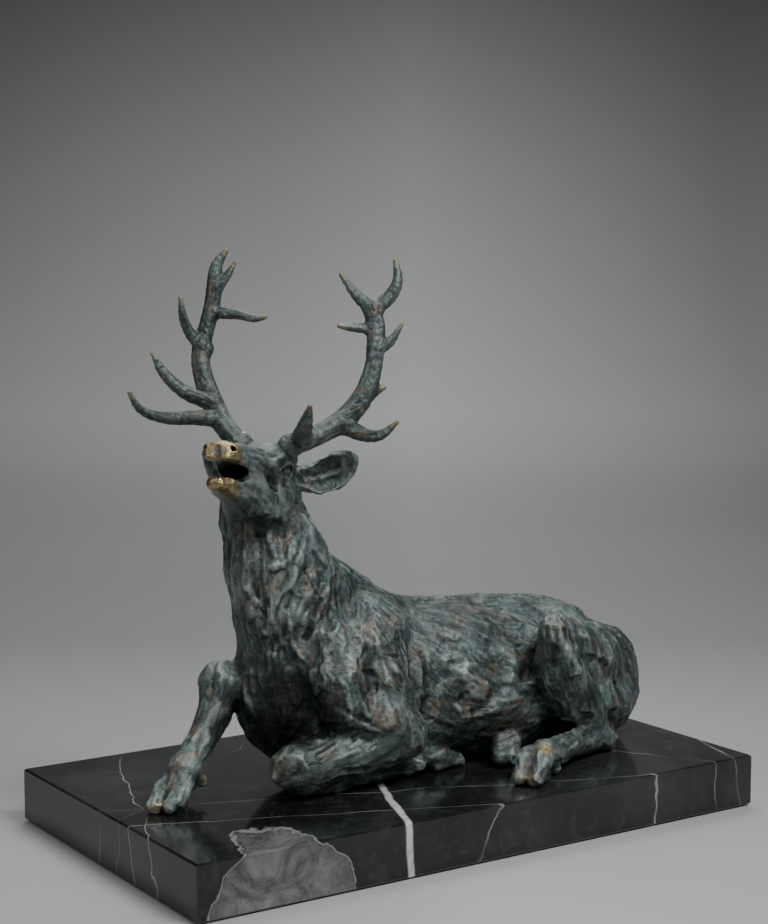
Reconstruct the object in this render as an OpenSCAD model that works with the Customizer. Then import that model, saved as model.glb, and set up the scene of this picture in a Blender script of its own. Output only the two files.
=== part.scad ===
// Recumbent bellowing stag, bronze statuette on a polished marble base.
// Millimetres. The origin is at the middle of the underside of the base.
// +X runs towards the rump, so the stag faces -X. Its left side faces -Y. +Z is up.

/* [Base] */
// Length of the marble base
base_length = 360; // [352:1:380]
// Width of the marble base
base_width = 204; // [200:1:230]
// Height of the whole base, with its felt
base_height = 30; // [28:0.5:36]
// Chamfer along the edges of the marble
base_chamfer = 1; // [0.5:0.1:2]
// Thickness of the felt under the marble
felt_thickness = 0.8; // [0.5:0.1:1.2]
// How far the felt stands back from the edge of the marble
felt_margin = 2; // [1:0.5:6]

/* [Bronze] */
// Wall of the hollow castings
wall = 4; // [3:0.5:5]
// How far the head turns to the stag's left
head_turn = 38; // [30:1:44]
// How far the face tilts upwards
head_pitch = 11; // [5:1:16]

/* [Fasteners] */
// Diameter of the two studs that hold the body to the base
stud_diameter = 6; // [5:1:8]
// Diameter of the pin that holds the outstretched hoof
hoof_pin_diameter = 3; // [2:1:4]
// Clearance round each stud and pin in its hole
clearance = 0.3; // [0.2:0.1:0.5]
// Diameter of the dowel in the foot of each antler
dowel_diameter = 3; // [2:0.5:4]

/* [Hidden] */

bronze = "#3d5557";
stone = "#1b1d20";
felt = "#20241f";
steel = "#9aa0a3";
brass = "#a98b4f";

// Rounds of the exact parts, and of the modelled forms
exact_fn = 64;
form_fn = 16;
slim_fn = 10;
core_fn = 12;
ring_sides = 32;

// Heights in the base
marble_top = base_height;
marble_bottom = felt_thickness;

// Fasteners: each stud passes the marble and screws into a bridge across the open belly
front_stud_x = -40;
rear_stud_x = 105;
bridge_width = 16;
bridge_thickness = 8;
bridge_bottom = marble_top + 5;
nut_height = 0.8 * stud_diameter;
washer_thickness = 1.6;
pocket_depth = 12;
pocket_diameter = 3.2 * stud_diameter;
small_pocket_depth = 8;
small_pocket_diameter = 4.2 * hoof_pin_diameter;
hoof_nut_height = 0.8 * hoof_pin_diameter;
hoof_washer_thickness = 0.8;
hoof_pin_place = [-139, -13];
hoof_pin_rise = 7;

belly_opening_ends = [-50, 115];
belly_opening_radius = 15;
belly_opening_height = 14.5;

// Body: sections [x, y, z of the middle, half width, half height]
body_sections = [
    [-94, 1, 76, 4, 7],
    [-90, 1, 76, 14, 20],
    [-76, 1, 78, 26, 38],
    [-60, 0, 82, 31, 48],
    [-46, 0, 85, 34, 54],
    [-30, 0, 86, 36, 57],
    [-14, 0, 84, 37, 53],
    [6, 0, 79, 38, 46],
    [28, 0, 76, 39.5, 45],
    [55, 0, 74, 40, 45],
    [85, 0, 72, 40, 44],
    [112, 0, 70, 38, 42],
    [134, 0, 65, 33, 38],
    [150, -1, 59, 25, 31],
    [161, -1, 55, 15, 21],
    [167, -1, 54, 5, 8]
];

// Round forms: stations [x, y, z, radius]
neck_line = [
    [-58, 2, 100, 36],
    [-69, 0, 126, 31],
    [-80, -2, 152, 26],
    [-88, -5, 174, 23],
    [-90, -6, 190, 21]
];
left_shoulder_line = [[-22, -24, 114, 14], [-42, -33, 104, 18], [-59, -35, 88, 17]];
left_arm_line = [[-59, -35, 88, 17], [-38, -41, 72, 17], [-20, -43, 59, 14]];
left_forearm_line = [[-20, -43, 57, 14], [-50, -39, 52, 14], [-79, -34, 46, 13]];
left_cannon_line = [[-79, -34, 43, 13.5], [-62, -33, 38.5, 9], [-40, -31, 37, 7.5], [-12, -28, 37, 7.5]];
left_pastern_line = [[-12, -28, 37, 7.5], [2, -27, 40, 8], [12, -27, 37, 8], [20, -27, 35, 5.5]];
right_arm_line = [[-52, 24, 70, 17], [-76, 20, 78, 13], [-103, 11, 86, 11]];
right_cannon_line = [[-103, 11, 86, 11], [-111, 6, 75, 8.5], [-124, -3, 62, 7], [-137, -9, 50, 8]];
right_pastern_line = [[-137, -9, 50, 8], [-145, -12, 42, 7], [-150, -14, 37, 7.5], [-157, -16, 33.5, 4]];
left_thigh_line = [[124, -20, 78, 23], [110, -34, 86, 22], [88, -45, 100, 15], [77, -47, 105, 10]];
left_ham_line = [[138, -19, 55, 19], [124, -34, 54, 18], [110, -43, 60, 14]];
left_shin_line = [[78, -48, 103, 11], [90, -50, 80, 13], [106, -50, 54, 9], [115, -47, 38, 8.5]];
left_shank_line = [[115, -47, 38, 8.5], [90, -54, 39, 6.5], [64, -66, 39, 6.5], [50, -73, 41, 8]];
left_hoof_line = [[50, -73, 41, 8], [40, -78, 37, 7.5], [31, -83, 33.8, 4.5]];
right_thigh_line = [[130, 22, 80, 24], [110, 34, 84, 22], [88, 42, 84, 14], [74, 44, 82, 10]];
right_shin_line = [[75, 44, 80, 10], [92, 43, 60, 12], [108, 38, 39, 10]];
right_shank_line = [[84, 4, 37, 7], [70, -18, 37, 7], [58, -32, 37, 7]];
right_hoof_line = [[58, -32, 37, 7.5], [50, -38, 36, 6.5], [44, -42, 33.5, 4]];
tail_line = [[152, -2, 80, 8], [163, -2, 68, 7], [167, -3, 55, 5], [166, -4, 44, 2.5]];

// Head, in its own frame: origin midway between the antlers, +X to the nose, +Y to its left
head_origin = [-83.5, -1.5, 214];
skull_line = [[-6, 0, -13, 15], [8, 0, -12, 15.5], [24, 0, -12, 12], [42, 0, -11, 9.5], [54, 0, -9.5, 9]];
nose_line = [[54, -4, -9, 7.5], [54, 4, -9, 7.5]];
jaw_line = [[-6, 0, -26, 12], [12, 0, -28, 9], [34, 0, -26, 7], [49, 0, -25, 6], [55, 0, -24, 5.5]];
brow_line = [[2, -11, -3, 6.5], [2, 11, -3, 6.5]];
left_ear_line = [[-5, 15, -13, 4], [-11, 23, -14, 8], [-16, 31, -11, 9.5], [-21, 40, -3, 3.5]];
right_ear_line = [[-5, -15, -13, 4], [-11, -23, -14, 8], [-16, -31, -11, 9.5], [-21, -40, -3, 3.5]];

// Antlers, each from its own burr: stations [outwards, backwards, upwards, radius]
burr_spread = 14;
left_beam = [
    [0, 0, 0, 6.5], [12, 9, 6, 6], [23, 18, 13, 6], [32, 24, 24, 5.6], [37, 28, 38, 5],
    [38, 31, 52, 4.6], [37, 34, 63, 5], [35, 36, 72, 4.6]
];
left_tines = [
    [[7, 3, 5, 4.4], [13, -12, 8, 3.8], [23, -28, 14, 2.8], [27, -37, 24, 1]],
    [[22, 18, 12, 5], [36, 15, 7, 4.2], [47, 12, 7, 3], [57, 10, 14, 1]],
    [[36, 27, 28, 3.4], [43, 30, 31, 1.2]],
    [[38, 31, 52, 3.6], [44, 37, 55, 2.8], [49, 42, 64, 1]],
    [[36, 34, 62, 3], [27, 26, 63, 2.2], [21, 21, 64, 1.2]],
    [[35, 36, 72, 4], [26, 34, 80, 3], [18, 32, 91, 1]],
    [[35, 36, 72, 4.4], [43, 40, 79, 3.6], [47, 42, 88, 2.6], [45, 44, 98, 1]]
];
right_beam = [
    [0, 0, 0, 6.5], [13, 9, 10, 6.2], [23, 18, 20, 6], [30, 24, 30, 5.6], [34, 27, 42, 5.2],
    [35, 31, 53, 5], [33, 33, 63, 4.6], [31, 36, 75, 4.4], [30, 37, 87, 4], [29, 38, 96, 3], [24, 40, 104, 1]
];
right_tines = [
    [[16, 8, 14, 5], [25, -8, 15, 3.8], [34, -28, 17, 3], [39, -41, 22, 2.2], [42, -47, 31, 1]],
    [[22, 14, 22, 5], [35, 6, 28, 3.8], [44, 0, 38, 2.8], [49, -4, 49, 1]],
    [[32, 30, 50, 4.2], [38, 24, 58, 3.2], [41, 20, 67, 2.4], [42, 18, 78, 1]],
    [[29, 35, 70, 3.6], [15, 34, 69, 2.6], [5, 32, 67, 2], [-2, 32, 68, 1]],
    [[28, 37, 84, 3], [23, 40, 91, 2.2], [20, 42, 97, 1]]
];

// A ball at a station
module ball(station, grow = 0, fn = form_fn) {
    translate([station[0], station[1], station[2]])
        sphere(r = max(station[3] + grow, 0.6), $fn = fn);
}

// A round form that runs through its stations
module limb(line, grow = 0, fn = form_fn) {
    for (i = [0 : len(line) - 2])
        hull() {
            ball(line[i], grow, fn);
            ball(line[i + 1], grow, fn);
        }
}

// One oval ring of the body, flat where it would pass below the floor height
function body_ring(s, grow, floor_z) = [
    for (i = [0 : ring_sides - 1])
        let (a = (i + 0.5) * 360 / ring_sides)
            [s[0], s[1] + (s[3] + grow) * cos(a), max(s[2] + (s[4] + grow) * sin(a), floor_z)]
];

// A closed form through rings of equal point count, wound the same way
module loft(rings) {
    n = len(rings[0]);
    last = len(rings) - 1;
    polyhedron(
        points = [for (ring = rings) each ring],
        faces = concat(
            [[for (i = [0 : n - 1]) i]],
            [for (r = [0 : last - 1], i = [0 : n - 1])
                [r * n + i, (r + 1) * n + i, (r + 1) * n + (i + 1) % n]],
            [for (r = [0 : last - 1], i = [0 : n - 1])
                [r * n + i, (r + 1) * n + (i + 1) % n, r * n + (i + 1) % n]],
            [[for (i = [n - 1 : -1 : 0]) last * n + i]]
        )
    );
}

module body_form(grow = 0) {
    loft([for (s = body_sections) body_ring(s, grow, marble_top)]);
}

// The hollow stops short of the first and last sections
module body_core() {
    loft([for (i = [1 : len(body_sections) - 2]) body_ring(body_sections[i], -wall, marble_top + wall)]);
}

// Keeps what stands on the base
module on_base() {
    intersection() {
        children();
        translate([-200, -150, marble_top])
            cube([400, 300, 400]);
    }
}

// Places a form that is drawn in the head's own frame
module at_head() {
    translate(head_origin)
        rotate([0, -head_pitch, 180 + head_turn])
            children();
}

// Places a form that is drawn from an antler's burr; side is 1 on the left and -1 on the right
module at_burr(side) {
    translate(head_origin)
        rotate([0, 0, 180 + head_turn])
            translate([0, side * burr_spread, 0])
                children();
}

function from_burr(line, side) = [for (s = line) [-s[1], side * s[0], s[2], s[3]]];

module skull_form(grow = 0) {
    at_head() {
        limb(skull_line, grow);
        limb(nose_line, grow, slim_fn);
        limb(brow_line, grow, slim_fn);
    }
}

module jaw_form(grow = 0) {
    at_head()
        limb(jaw_line, grow, slim_fn);
}

module marble_base() {
    color(stone)
        difference() {
            hull() {
                translate([-base_length / 2 + base_chamfer, -base_width / 2 + base_chamfer, marble_bottom])
                    cube([base_length - 2 * base_chamfer, base_width - 2 * base_chamfer,
                        marble_top - marble_bottom]);
                translate([-base_length / 2, -base_width / 2, marble_bottom + base_chamfer])
                    cube([base_length, base_width, marble_top - marble_bottom - 2 * base_chamfer]);
            }
            for (x = [front_stud_x, rear_stud_x])
                stud_hole([x, 0], stud_diameter, pocket_diameter, pocket_depth);
            stud_hole(hoof_pin_place, hoof_pin_diameter, small_pocket_diameter, small_pocket_depth);
        }
}

// A clear hole through the marble, with a round pocket for the washer and nut below
module stud_hole(place, diameter, pocket, depth) {
    translate([place[0], place[1], marble_bottom - 1]) {
        cylinder(d = diameter + 2 * clearance, h = base_height + 2, $fn = exact_fn);
        cylinder(d = pocket, h = depth + 1, $fn = exact_fn);
    }
}

module base_felt() {
    color(felt)
        translate([-base_length / 2 + felt_margin, -base_width / 2 + felt_margin, 0])
            cube([base_length - 2 * felt_margin, base_width - 2 * felt_margin, felt_thickness]);
}

module body_casting() {
    color(bronze)
        difference() {
            body_form();
            body_core();
            belly_opening();
        }
}

// The hollow body is open below, where the core came out and the bridges went in
module belly_opening() {
    length = belly_opening_ends[1] - belly_opening_ends[0];
    for (x = belly_opening_ends)
        translate([x, 0, marble_top - 1])
            cylinder(r = belly_opening_radius, h = belly_opening_height, $fn = exact_fn);
    translate([belly_opening_ends[0], -belly_opening_radius, marble_top - 1])
        cube([length, 2 * belly_opening_radius, belly_opening_height]);
}

module neck_casting() {
    color(bronze)
        difference() {
            limb(neck_line, 0, 24);
            limb([for (s = neck_line) [s[0], s[1], s[2] - 2, s[3] - wall]], 0, core_fn);
            body_form(0.05);
            skull_form(0.05);
            jaw_form(0.05);
        }
}

module head_casting() {
    color(bronze)
        difference() {
            union() {
                skull_form();
                jaw_form();
            }
            at_head()
                mouth_and_nostrils();
            for (side = [-1, 1])
                dowel_hole(side);
        }
}

module mouth_and_nostrils() {
    hull() {
        translate([26, 0, -19])
            sphere(r = 2.5, $fn = slim_fn);
        for (y = [-6, 6])
            translate([64, y, -19])
                sphere(r = 4, $fn = slim_fn);
    }
    for (y = [-6.5, 6.5])
        translate([61, y, -6])
            sphere(r = 2.4, $fn = slim_fn);
}

// The dowel lies along the first stretch of the beam
module dowel(side, diameter, length) {
    at_burr(side)
        rotate([0, -35, 0])
            translate([0, 0, -length / 2])
                cylinder(d = diameter, h = length, $fn = 24);
}

module dowel_hole(side) {
    dowel(side, dowel_diameter + 0.1, 16.2);
}

module antler_dowels() {
    color(steel)
        for (side = [-1, 1])
            dowel(side, dowel_diameter, 16);
}

module antler(beam, tines, side) {
    color(bronze)
        difference() {
            at_burr(side) {
                limb(from_burr(beam, side), 0, slim_fn);
                for (tine = tines)
                    limb(from_burr(tine, side), 0, 8);
                burr(side);
            }
            skull_form(0.05);
            dowel_hole(side);
        }
}

// The rough ring at the foot of an antler
module burr(side) {
    rotate([0, -35, 0])
        hull() {
            cylinder(r = 7.5, h = 2, center = true, $fn = form_fn);
            cylinder(r = 6, h = 5, center = true, $fn = form_fn);
        }
}

module left_antler() {
    antler(left_beam, left_tines, 1);
}

module right_antler() {
    antler(right_beam, right_tines, -1);
}

// A cupped ear: a leaf-shaped form with a hollow scooped from its front
module ear(line) {
    color(bronze)
        difference() {
            at_head()
                limb(line, 0, 12);
            at_head()
                translate([9, 0, 2])
                    limb([for (i = [1 : 3]) line[i]], 1, 12);
            skull_form(0.05);
            limb(neck_line, 0.05, 24);
        }
}

module left_ear() {
    ear(left_ear_line);
}

module right_ear() {
    ear(right_ear_line);
}

module left_foreleg() {
    color(bronze)
        difference() {
            on_base() {
                limb(left_shoulder_line);
                limb(left_arm_line);
                limb(left_forearm_line);
                limb(left_cannon_line);
                limb(left_pastern_line);
            }
            limb(left_shoulder_line, -wall, core_fn);
            body_form(0.05);
            limb(neck_line, 0.05, 24);
        }
}

module right_foreleg() {
    color(bronze)
        difference() {
            on_base() {
                limb(right_arm_line);
                limb(right_cannon_line);
                limb(right_pastern_line);
                hoof_heel();
            }
            body_form(0.05);
            limb(neck_line, 0.05, 24);
            translate([hoof_pin_place[0], hoof_pin_place[1], marble_top - 1])
                cylinder(d = hoof_pin_diameter + 0.1, h = hoof_pin_rise + 1.1, $fn = 24);
        }
}

// The cloven hoof is planted on the base
module hoof_heel() {
    hull() {
        ball([-150, -14, 37, 7.5]);
        ball([-134, -11, 34, 4.5]);
    }
}

module left_hindleg() {
    color(bronze)
        difference() {
            on_base() {
                limb(left_thigh_line);
                limb(left_ham_line);
                limb(left_shin_line);
                limb(left_shank_line);
                limb(left_hoof_line);
            }
            limb([left_thigh_line[0], left_thigh_line[1]], -wall, core_fn);
            body_form(0.05);
        }
}

module right_hindleg() {
    color(bronze)
        difference() {
            on_base() {
                limb(right_thigh_line);
                limb(right_shin_line);
            }
            limb([right_thigh_line[0], right_thigh_line[1]], -wall, core_fn);
            body_form(0.05);
        }
}

module right_hind_hoof() {
    color(bronze)
        difference() {
            on_base() {
                limb(right_shank_line);
                limb(right_hoof_line);
            }
            body_form(0.05);
        }
}

module tail() {
    color(bronze)
        difference() {
            limb(tail_line, 0, 12);
            body_form(0.05);
        }
}

// A bar brazed across the open belly, tapped for a stud
module bridge(x) {
    color(brass)
        difference() {
            translate([x - bridge_width / 2, -belly_opening_radius, bridge_bottom])
                cube([bridge_width, 2 * belly_opening_radius, bridge_thickness]);
            translate([x, 0, bridge_bottom - 1])
                cylinder(d = stud_diameter, h = bridge_thickness + 2, $fn = exact_fn);
        }
}

module front_bridge() {
    bridge(front_stud_x);
}

module rear_bridge() {
    bridge(rear_stud_x);
}

module stud(x) {
    bottom = marble_bottom + pocket_depth - washer_thickness - nut_height - 2;
    color(steel)
        translate([x, 0, bottom])
            cylinder(d = stud_diameter, h = bridge_bottom + bridge_thickness + 2 - bottom, $fn = exact_fn);
}

module front_stud() {
    stud(front_stud_x);
}

module rear_stud() {
    stud(rear_stud_x);
}

module hoof_pin() {
    bottom = marble_bottom + small_pocket_depth - hoof_washer_thickness - hoof_nut_height - 1.5;
    color(steel)
        translate([hoof_pin_place[0], hoof_pin_place[1], bottom])
            cylinder(d = hoof_pin_diameter, h = marble_top + hoof_pin_rise - bottom, $fn = exact_fn);
}

module washer(place, bore, thickness, top) {
    color(steel)
        translate([place[0], place[1], top - thickness])
            difference() {
                cylinder(d = 2.1 * bore, h = thickness, $fn = exact_fn);
                translate([0, 0, -1])
                    cylinder(d = bore + 2 * clearance, h = thickness + 2, $fn = exact_fn);
            }
}

module nut(place, bore, height, top) {
    color(steel)
        translate([place[0], place[1], top - height])
            difference() {
                cylinder(d = 1.9 * bore, h = height, $fn = 6);
                translate([0, 0, -1])
                    cylinder(d = bore, h = height + 2, $fn = exact_fn);
            }
}

module stud_washers() {
    for (x = [front_stud_x, rear_stud_x])
        washer([x, 0], stud_diameter, washer_thickness, marble_bottom + pocket_depth);
}

module stud_nuts() {
    for (x = [front_stud_x, rear_stud_x])
        nut([x, 0], stud_diameter, nut_height, marble_bottom + pocket_depth - washer_thickness);
}

module hoof_washer() {
    washer(hoof_pin_place, hoof_pin_diameter, hoof_washer_thickness, marble_bottom + small_pocket_depth);
}

module hoof_nut() {
    nut(hoof_pin_place, hoof_pin_diameter, hoof_nut_height,
        marble_bottom + small_pocket_depth - hoof_washer_thickness);
}

marble_base();
base_felt();
body_casting();
neck_casting();
head_casting();
left_ear();
right_ear();
left_antler();
right_antler();
antler_dowels();
left_foreleg();
right_foreleg();
left_hindleg();
right_hindleg();
right_hind_hoof();
tail();
front_bridge();
rear_bridge();
front_stud();
rear_stud();
hoof_pin();
stud_washers();
stud_nuts();
hoof_washer();
hoof_nut();
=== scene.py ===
# %% [markdown]
# # A recumbent stag in patinated bronze
# A small animal bronze is modelled in clay, cast in sections by the lost-wax method, brazed together, chased
# until the joins vanish, and coloured with a chemical patina. This lesson rebuilds such a statuette round a
# mechanical frame that already holds its sections, studs and marble base at their real sizes.
# The frame gives every place; the script adds what makes it look like a sculpture.

# %% Load the frame
import math
import time

import bmesh
import bpy
import numpy as np
from mathutils import Matrix, Vector
from mathutils.kdtree import KDTree


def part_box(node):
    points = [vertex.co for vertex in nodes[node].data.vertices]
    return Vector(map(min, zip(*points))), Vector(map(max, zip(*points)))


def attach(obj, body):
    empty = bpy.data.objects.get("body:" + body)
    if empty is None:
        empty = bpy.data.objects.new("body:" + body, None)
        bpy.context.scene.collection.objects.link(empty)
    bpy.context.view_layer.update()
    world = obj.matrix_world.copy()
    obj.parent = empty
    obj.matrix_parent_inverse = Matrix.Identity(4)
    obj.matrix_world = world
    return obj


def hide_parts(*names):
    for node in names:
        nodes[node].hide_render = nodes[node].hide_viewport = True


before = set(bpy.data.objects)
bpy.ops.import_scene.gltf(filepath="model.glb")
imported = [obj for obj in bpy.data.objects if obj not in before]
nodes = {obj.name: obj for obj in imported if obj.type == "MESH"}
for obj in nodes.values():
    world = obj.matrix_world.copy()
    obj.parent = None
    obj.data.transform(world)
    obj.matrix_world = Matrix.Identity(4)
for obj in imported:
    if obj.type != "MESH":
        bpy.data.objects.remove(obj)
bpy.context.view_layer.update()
MM = 0.001
started = time.time()
base_low, base_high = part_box("marble_base")
marble_top = base_high[2] / MM
print("base", [round(v / MM, 1) for v in (*base_low, *base_high)], "mm")

# %% [markdown]
# ## The camera
# The statuette is seen from its displayed side, a little round towards the head and just above it.
# A long lens keeps the proportions of the animal true. The camera is built from an aim point, two angles
# and a distance, which is easier to read and to change than a matrix.

# %% Camera
def look_from(aim, azimuth, elevation, distance, lens):
    """A camera that looks at aim from an angle round the object."""
    camera = bpy.data.objects.new("camera", bpy.data.cameras.new("camera"))
    bpy.context.scene.collection.objects.link(camera)
    turn, rise = math.radians(azimuth), math.radians(elevation)
    away = Vector((-math.sin(turn) * math.cos(rise), -math.cos(turn) * math.cos(rise), math.sin(rise)))
    camera.location = Vector(aim) + away * distance
    camera.rotation_euler = away.to_track_quat("Z", "Y").to_euler()
    camera.data.lens = lens
    camera.data.sensor_width = 36
    camera.data.clip_end = 20
    bpy.context.scene.camera = camera
    return camera


VIEW_AZIMUTH = 33.7  # degrees round from the displayed side towards the head
camera = look_from(aim=(0.016, 0.033, 0.197), azimuth=VIEW_AZIMUTH, elevation=6.05, distance=1.09, lens=73.6)
print("camera at", [round(v, 3) for v in camera.location])

# %% [markdown]
# ## Clay in numbers
# A sculptor builds an animal by pressing lumps and sausages of clay together and smoothing the joins. The
# same can be done with a distance field: each form says how far a point is from its surface, a soft minimum
# presses two forms together, and a soft maximum scoops one out of the other. It was chosen over subdivision
# modelling because muscles run into each other everywhere, and a field blends them with no edge loops.
# Everything here is in millimetres; the finished meshes are turned to metres at the end.

# %% Forms
class Form:
    """One lump of clay: a tapering rod, an egg, or the oval trunk."""

    def __init__(self, region, blend, carve, middle, reach, distance, limb=None):
        self.region = region
        self.blend = blend
        self.carve = carve
        self.limb = limb
        self.steep = 1
        self.middle = np.array(middle, float)
        self.reach = reach
        self.distance = distance


forms = []


def rod(a, b, ra, rb, squeeze=None):
    """Distance to a rod from ball a to ball b. squeeze = (direction, factor) flattens it."""
    a, b = np.array(a, float), np.array(b, float)
    along = b - a
    length2 = float(along @ along) or 1e-9
    direction, factor = squeeze if squeeze else (None, 1.0)

    def distance(p):
        v = p - a
        t = np.clip(v @ along / length2, 0, 1)
        w = v - t[:, None] * along
        if direction is not None:
            w = w + (w @ direction)[:, None] * direction * (factor - 1)
        return np.sqrt((w * w).sum(1)) - (ra + t * (rb - ra))

    middle = (a + b) / 2
    return distance, middle, float(np.sqrt(length2)) / 2 + max(ra, rb)


def egg(centre, size, axes):
    """Distance to an egg of three half sizes, turned by the matrix axes."""
    centre, size = np.array(centre, float), np.array(size, float)

    def distance(p):
        q = (p - centre) @ axes / size
        k0 = np.sqrt((q * q).sum(1))
        k1 = np.sqrt(((q / size) ** 2).sum(1))
        return k0 * (k0 - 1) / np.maximum(k1, 1e-6)

    return distance, centre, float(size.max())


def turned(x=0, y=0, z=0):
    """A rotation matrix from degrees about X, then Y, then Z."""
    return np.array(Matrix.Rotation(math.radians(z), 3, "Z")
                    @ Matrix.Rotation(math.radians(y), 3, "Y")
                    @ Matrix.Rotation(math.radians(x), 3, "X"))


LEVEL = np.eye(3)


class Place:
    """A frame of reference for forms, such as the head's own."""

    def __init__(self, origin=(0, 0, 0), axes=LEVEL, side=1):
        self.origin = np.array(origin, float)
        self.axes = axes
        self.side = side

    def point(self, p):
        return self.origin + self.axes @ (np.array(p, float) * (1, self.side, 1))


WORLD = Place()
MIRRORED = Place(side=-1)


def limb(region, line, blend=5, carve=False, place=WORLD, squeeze=None, into=forms):
    """A rounded limb through stations (x, y, z, radius). Its rods are joined first, then pressed on."""
    name = len(into) + 1
    for a, b in zip(line[:-1], line[1:]):
        pa, pb = place.point(a[:3]), place.point(b[:3])
        flat = None
        if squeeze:
            direction = place.axes @ (np.array(squeeze[0], float) * (1, place.side, 1))
            flat = (direction / np.linalg.norm(direction), squeeze[1])
        distance, middle, reach = rod(pa, pb, a[3], b[3], flat)
        into.append(Form(region, blend, carve, middle, reach, distance, name))


def lump(region, centre, size, blend=5, carve=False, place=WORLD, turn=(0, 0, 0)):
    """An egg-shaped lump; size gives its half lengths before it is turned."""
    x, y, z = turn
    axes = place.axes @ turned(x * place.side, y, z * place.side)
    distance, middle, reach = egg(place.point(centre), size, axes)
    forms.append(Form(region, blend, carve, middle, reach, distance))


def smooth_line(line, steps=3):
    """A curved line through its stations, with steps points between each pair."""
    pts = np.array(line, float)
    ends = np.vstack([2 * pts[0] - pts[1], pts, 2 * pts[-1] - pts[-2]])
    out = []
    for p0, p1, p2, p3 in zip(ends[:-3], ends[1:-2], ends[2:-1], ends[3:]):
        for k in range(steps):
            t = k / steps
            out.append(0.5 * (2 * p1 + (p2 - p0) * t + (2 * p0 - 5 * p1 + 4 * p2 - p3) * t * t
                              + (3 * p1 - p0 - 3 * p2 + p3) * t ** 3))
    out.append(pts[-1])
    return [tuple(p) for p in out]


# %% [markdown]
# ## The trunk
# The body is one oval form whose middle, width and height change along its length, so it is described the
# way a shipbuilder draws a hull: by sections. Each section here sits where the frame's hollow body casting
# has its own, and a smooth curve runs between them.

# %% Trunk
TRUNK = [
    # x, y of the middle, z of the middle, half width, half height
    (-94, 1, 76, 4, 7), (-90, 1, 76, 14, 20), (-76, 1, 78, 26, 38), (-60, 0, 82, 31, 48),
    (-46, 0, 85, 34, 54), (-30, 0, 85, 36, 56), (-14, 0, 82, 37, 52), (6, 0, 78, 38, 46),
    (28, 0, 76, 39.5, 45), (55, 0, 74, 40, 45), (85, 0, 72, 40, 44), (112, 0, 70, 38, 43),
    (134, 0, 65, 33, 38), (150, -1, 59, 25, 31), (160, -1, 55, 15, 21), (166, -1, 54, 5, 8),
]


def trunk_form(sections, egginess=0.16):
    """The oval trunk, a little narrower at the spine than at the belly."""
    table = np.array(smooth_line(sections, 6))
    xs = table[:, 0]

    def distance(p):
        x = np.clip(p[:, 0], xs[0], xs[-1])
        y0, z0, b, c = (np.interp(x, xs, table[:, k]) for k in (1, 2, 3, 4))
        v = (p[:, 2] - z0) / c
        u = (p[:, 1] - y0) / (b * (1 - egginess * np.clip(v, -1, 1)))
        r = np.sqrt(u * u + v * v)
        past = np.abs(p[:, 0] - x)
        return (r - 1) * np.minimum(b, c) + past

    return Form("body_casting", 0, False, (36, 0, 80), 150, distance)


forms.append(trunk_form(TRUNK))
forms[0].steep = 4
BODY = "body_casting"
for place in (WORLD, MIRRORED):
    lump(BODY, (16, -15, 76), (46, 24.5, 38), blend=14, place=place)
    lump(BODY, (60, -13, 62), (36, 27, 30), blend=14, place=place)
    lump(BODY, (108, -14, 103), (13, 9, 9), blend=7, place=place)
    lump(BODY, (70, -56, 84), (11, 15, 26), blend=10, carve=True, place=place)
limb(BODY, [(0, 0, 119, 5), (30, 0, 115.5, 5), (70, 0, 113.5, 5), (100, 0, 109.5, 5), (128, 0, 100, 5)], blend=7)
lump(BODY, (-84, 0, 82), (14, 20, 28), blend=12)

# %% [markdown]
# ## Neck, shoulders and legs
# The neck carries its windpipe, the roll of skin behind the jaw and the long muscle that runs from the skull
# to the breast. Each leg follows its bones, station by station, and gets the lumps that catch the light:
# elbow, knee, hock, fetlock and dewclaws. Grooves between muscles are scooped out after the muscles are on.

# %% Neck
NECK = "neck_casting"
AWAY = (0.55, 0.83, 0)
limb(NECK, [(-58, 2, 100, 35), (-69, 0, 126, 30), (-78.5, -1, 150, 24.5)], blend=12)
limb(NECK, [(-78.5, -1, 150, 24.8), (-84.5, 0, 174, 22), (-87, -1, 192, 20)], blend=6, squeeze=(AWAY, 1.2))
limb(NECK, [(-74, -6, 184, 8), (-70, -10, 166, 11), (-60, -11, 150, 11), (-46, -8, 138, 12), (-34, -4, 130, 12)],
     blend=8)

# %% [markdown]
# ### Hooves
# A deer stands on two toes with a cleft between them, and two dewclaws higher up at the back. On a bronze the
# toes are plain wedges. One function lays two toes side by side along the direction of the foot, so all four
# feet share the same build and differ only in where they point.

# %% Hooves
def hoof(region, fetlock, coronet, tip, spread, r):
    """Two toes side by side, sole on the marble; each point is x, y, z."""
    fetlock, coronet, tip = (np.array(p, float) for p in (fetlock, coronet, tip))
    forward = (tip - coronet) * (1, 1, 0)
    forward /= np.linalg.norm(forward)
    across = np.array([-forward[1], forward[0], 0])
    heel = coronet - forward * 1.5
    heel[2] = marble_top + 0.5 * r + 1.5
    for side in (-1, 1):
        toe = Place(origin=across * spread * side)
        limb(region, [(*fetlock, r * 0.9), (*coronet, r), (*tip, r * 0.72)], blend=1.3, place=toe)
        limb(region, [(*heel, r * 0.85), (*tip, r * 0.62)], blend=1.6, place=toe)
    return across


# %% [markdown]
# ### Forelegs
# One foreleg is folded, so that the stag rests on its wrist, and the other reaches out to the corner of the
# base. Rods that follow the bones, with a radius at each joint, were chosen over one closed outline, because
# a joint can then be moved without redrawing the leg.

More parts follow.
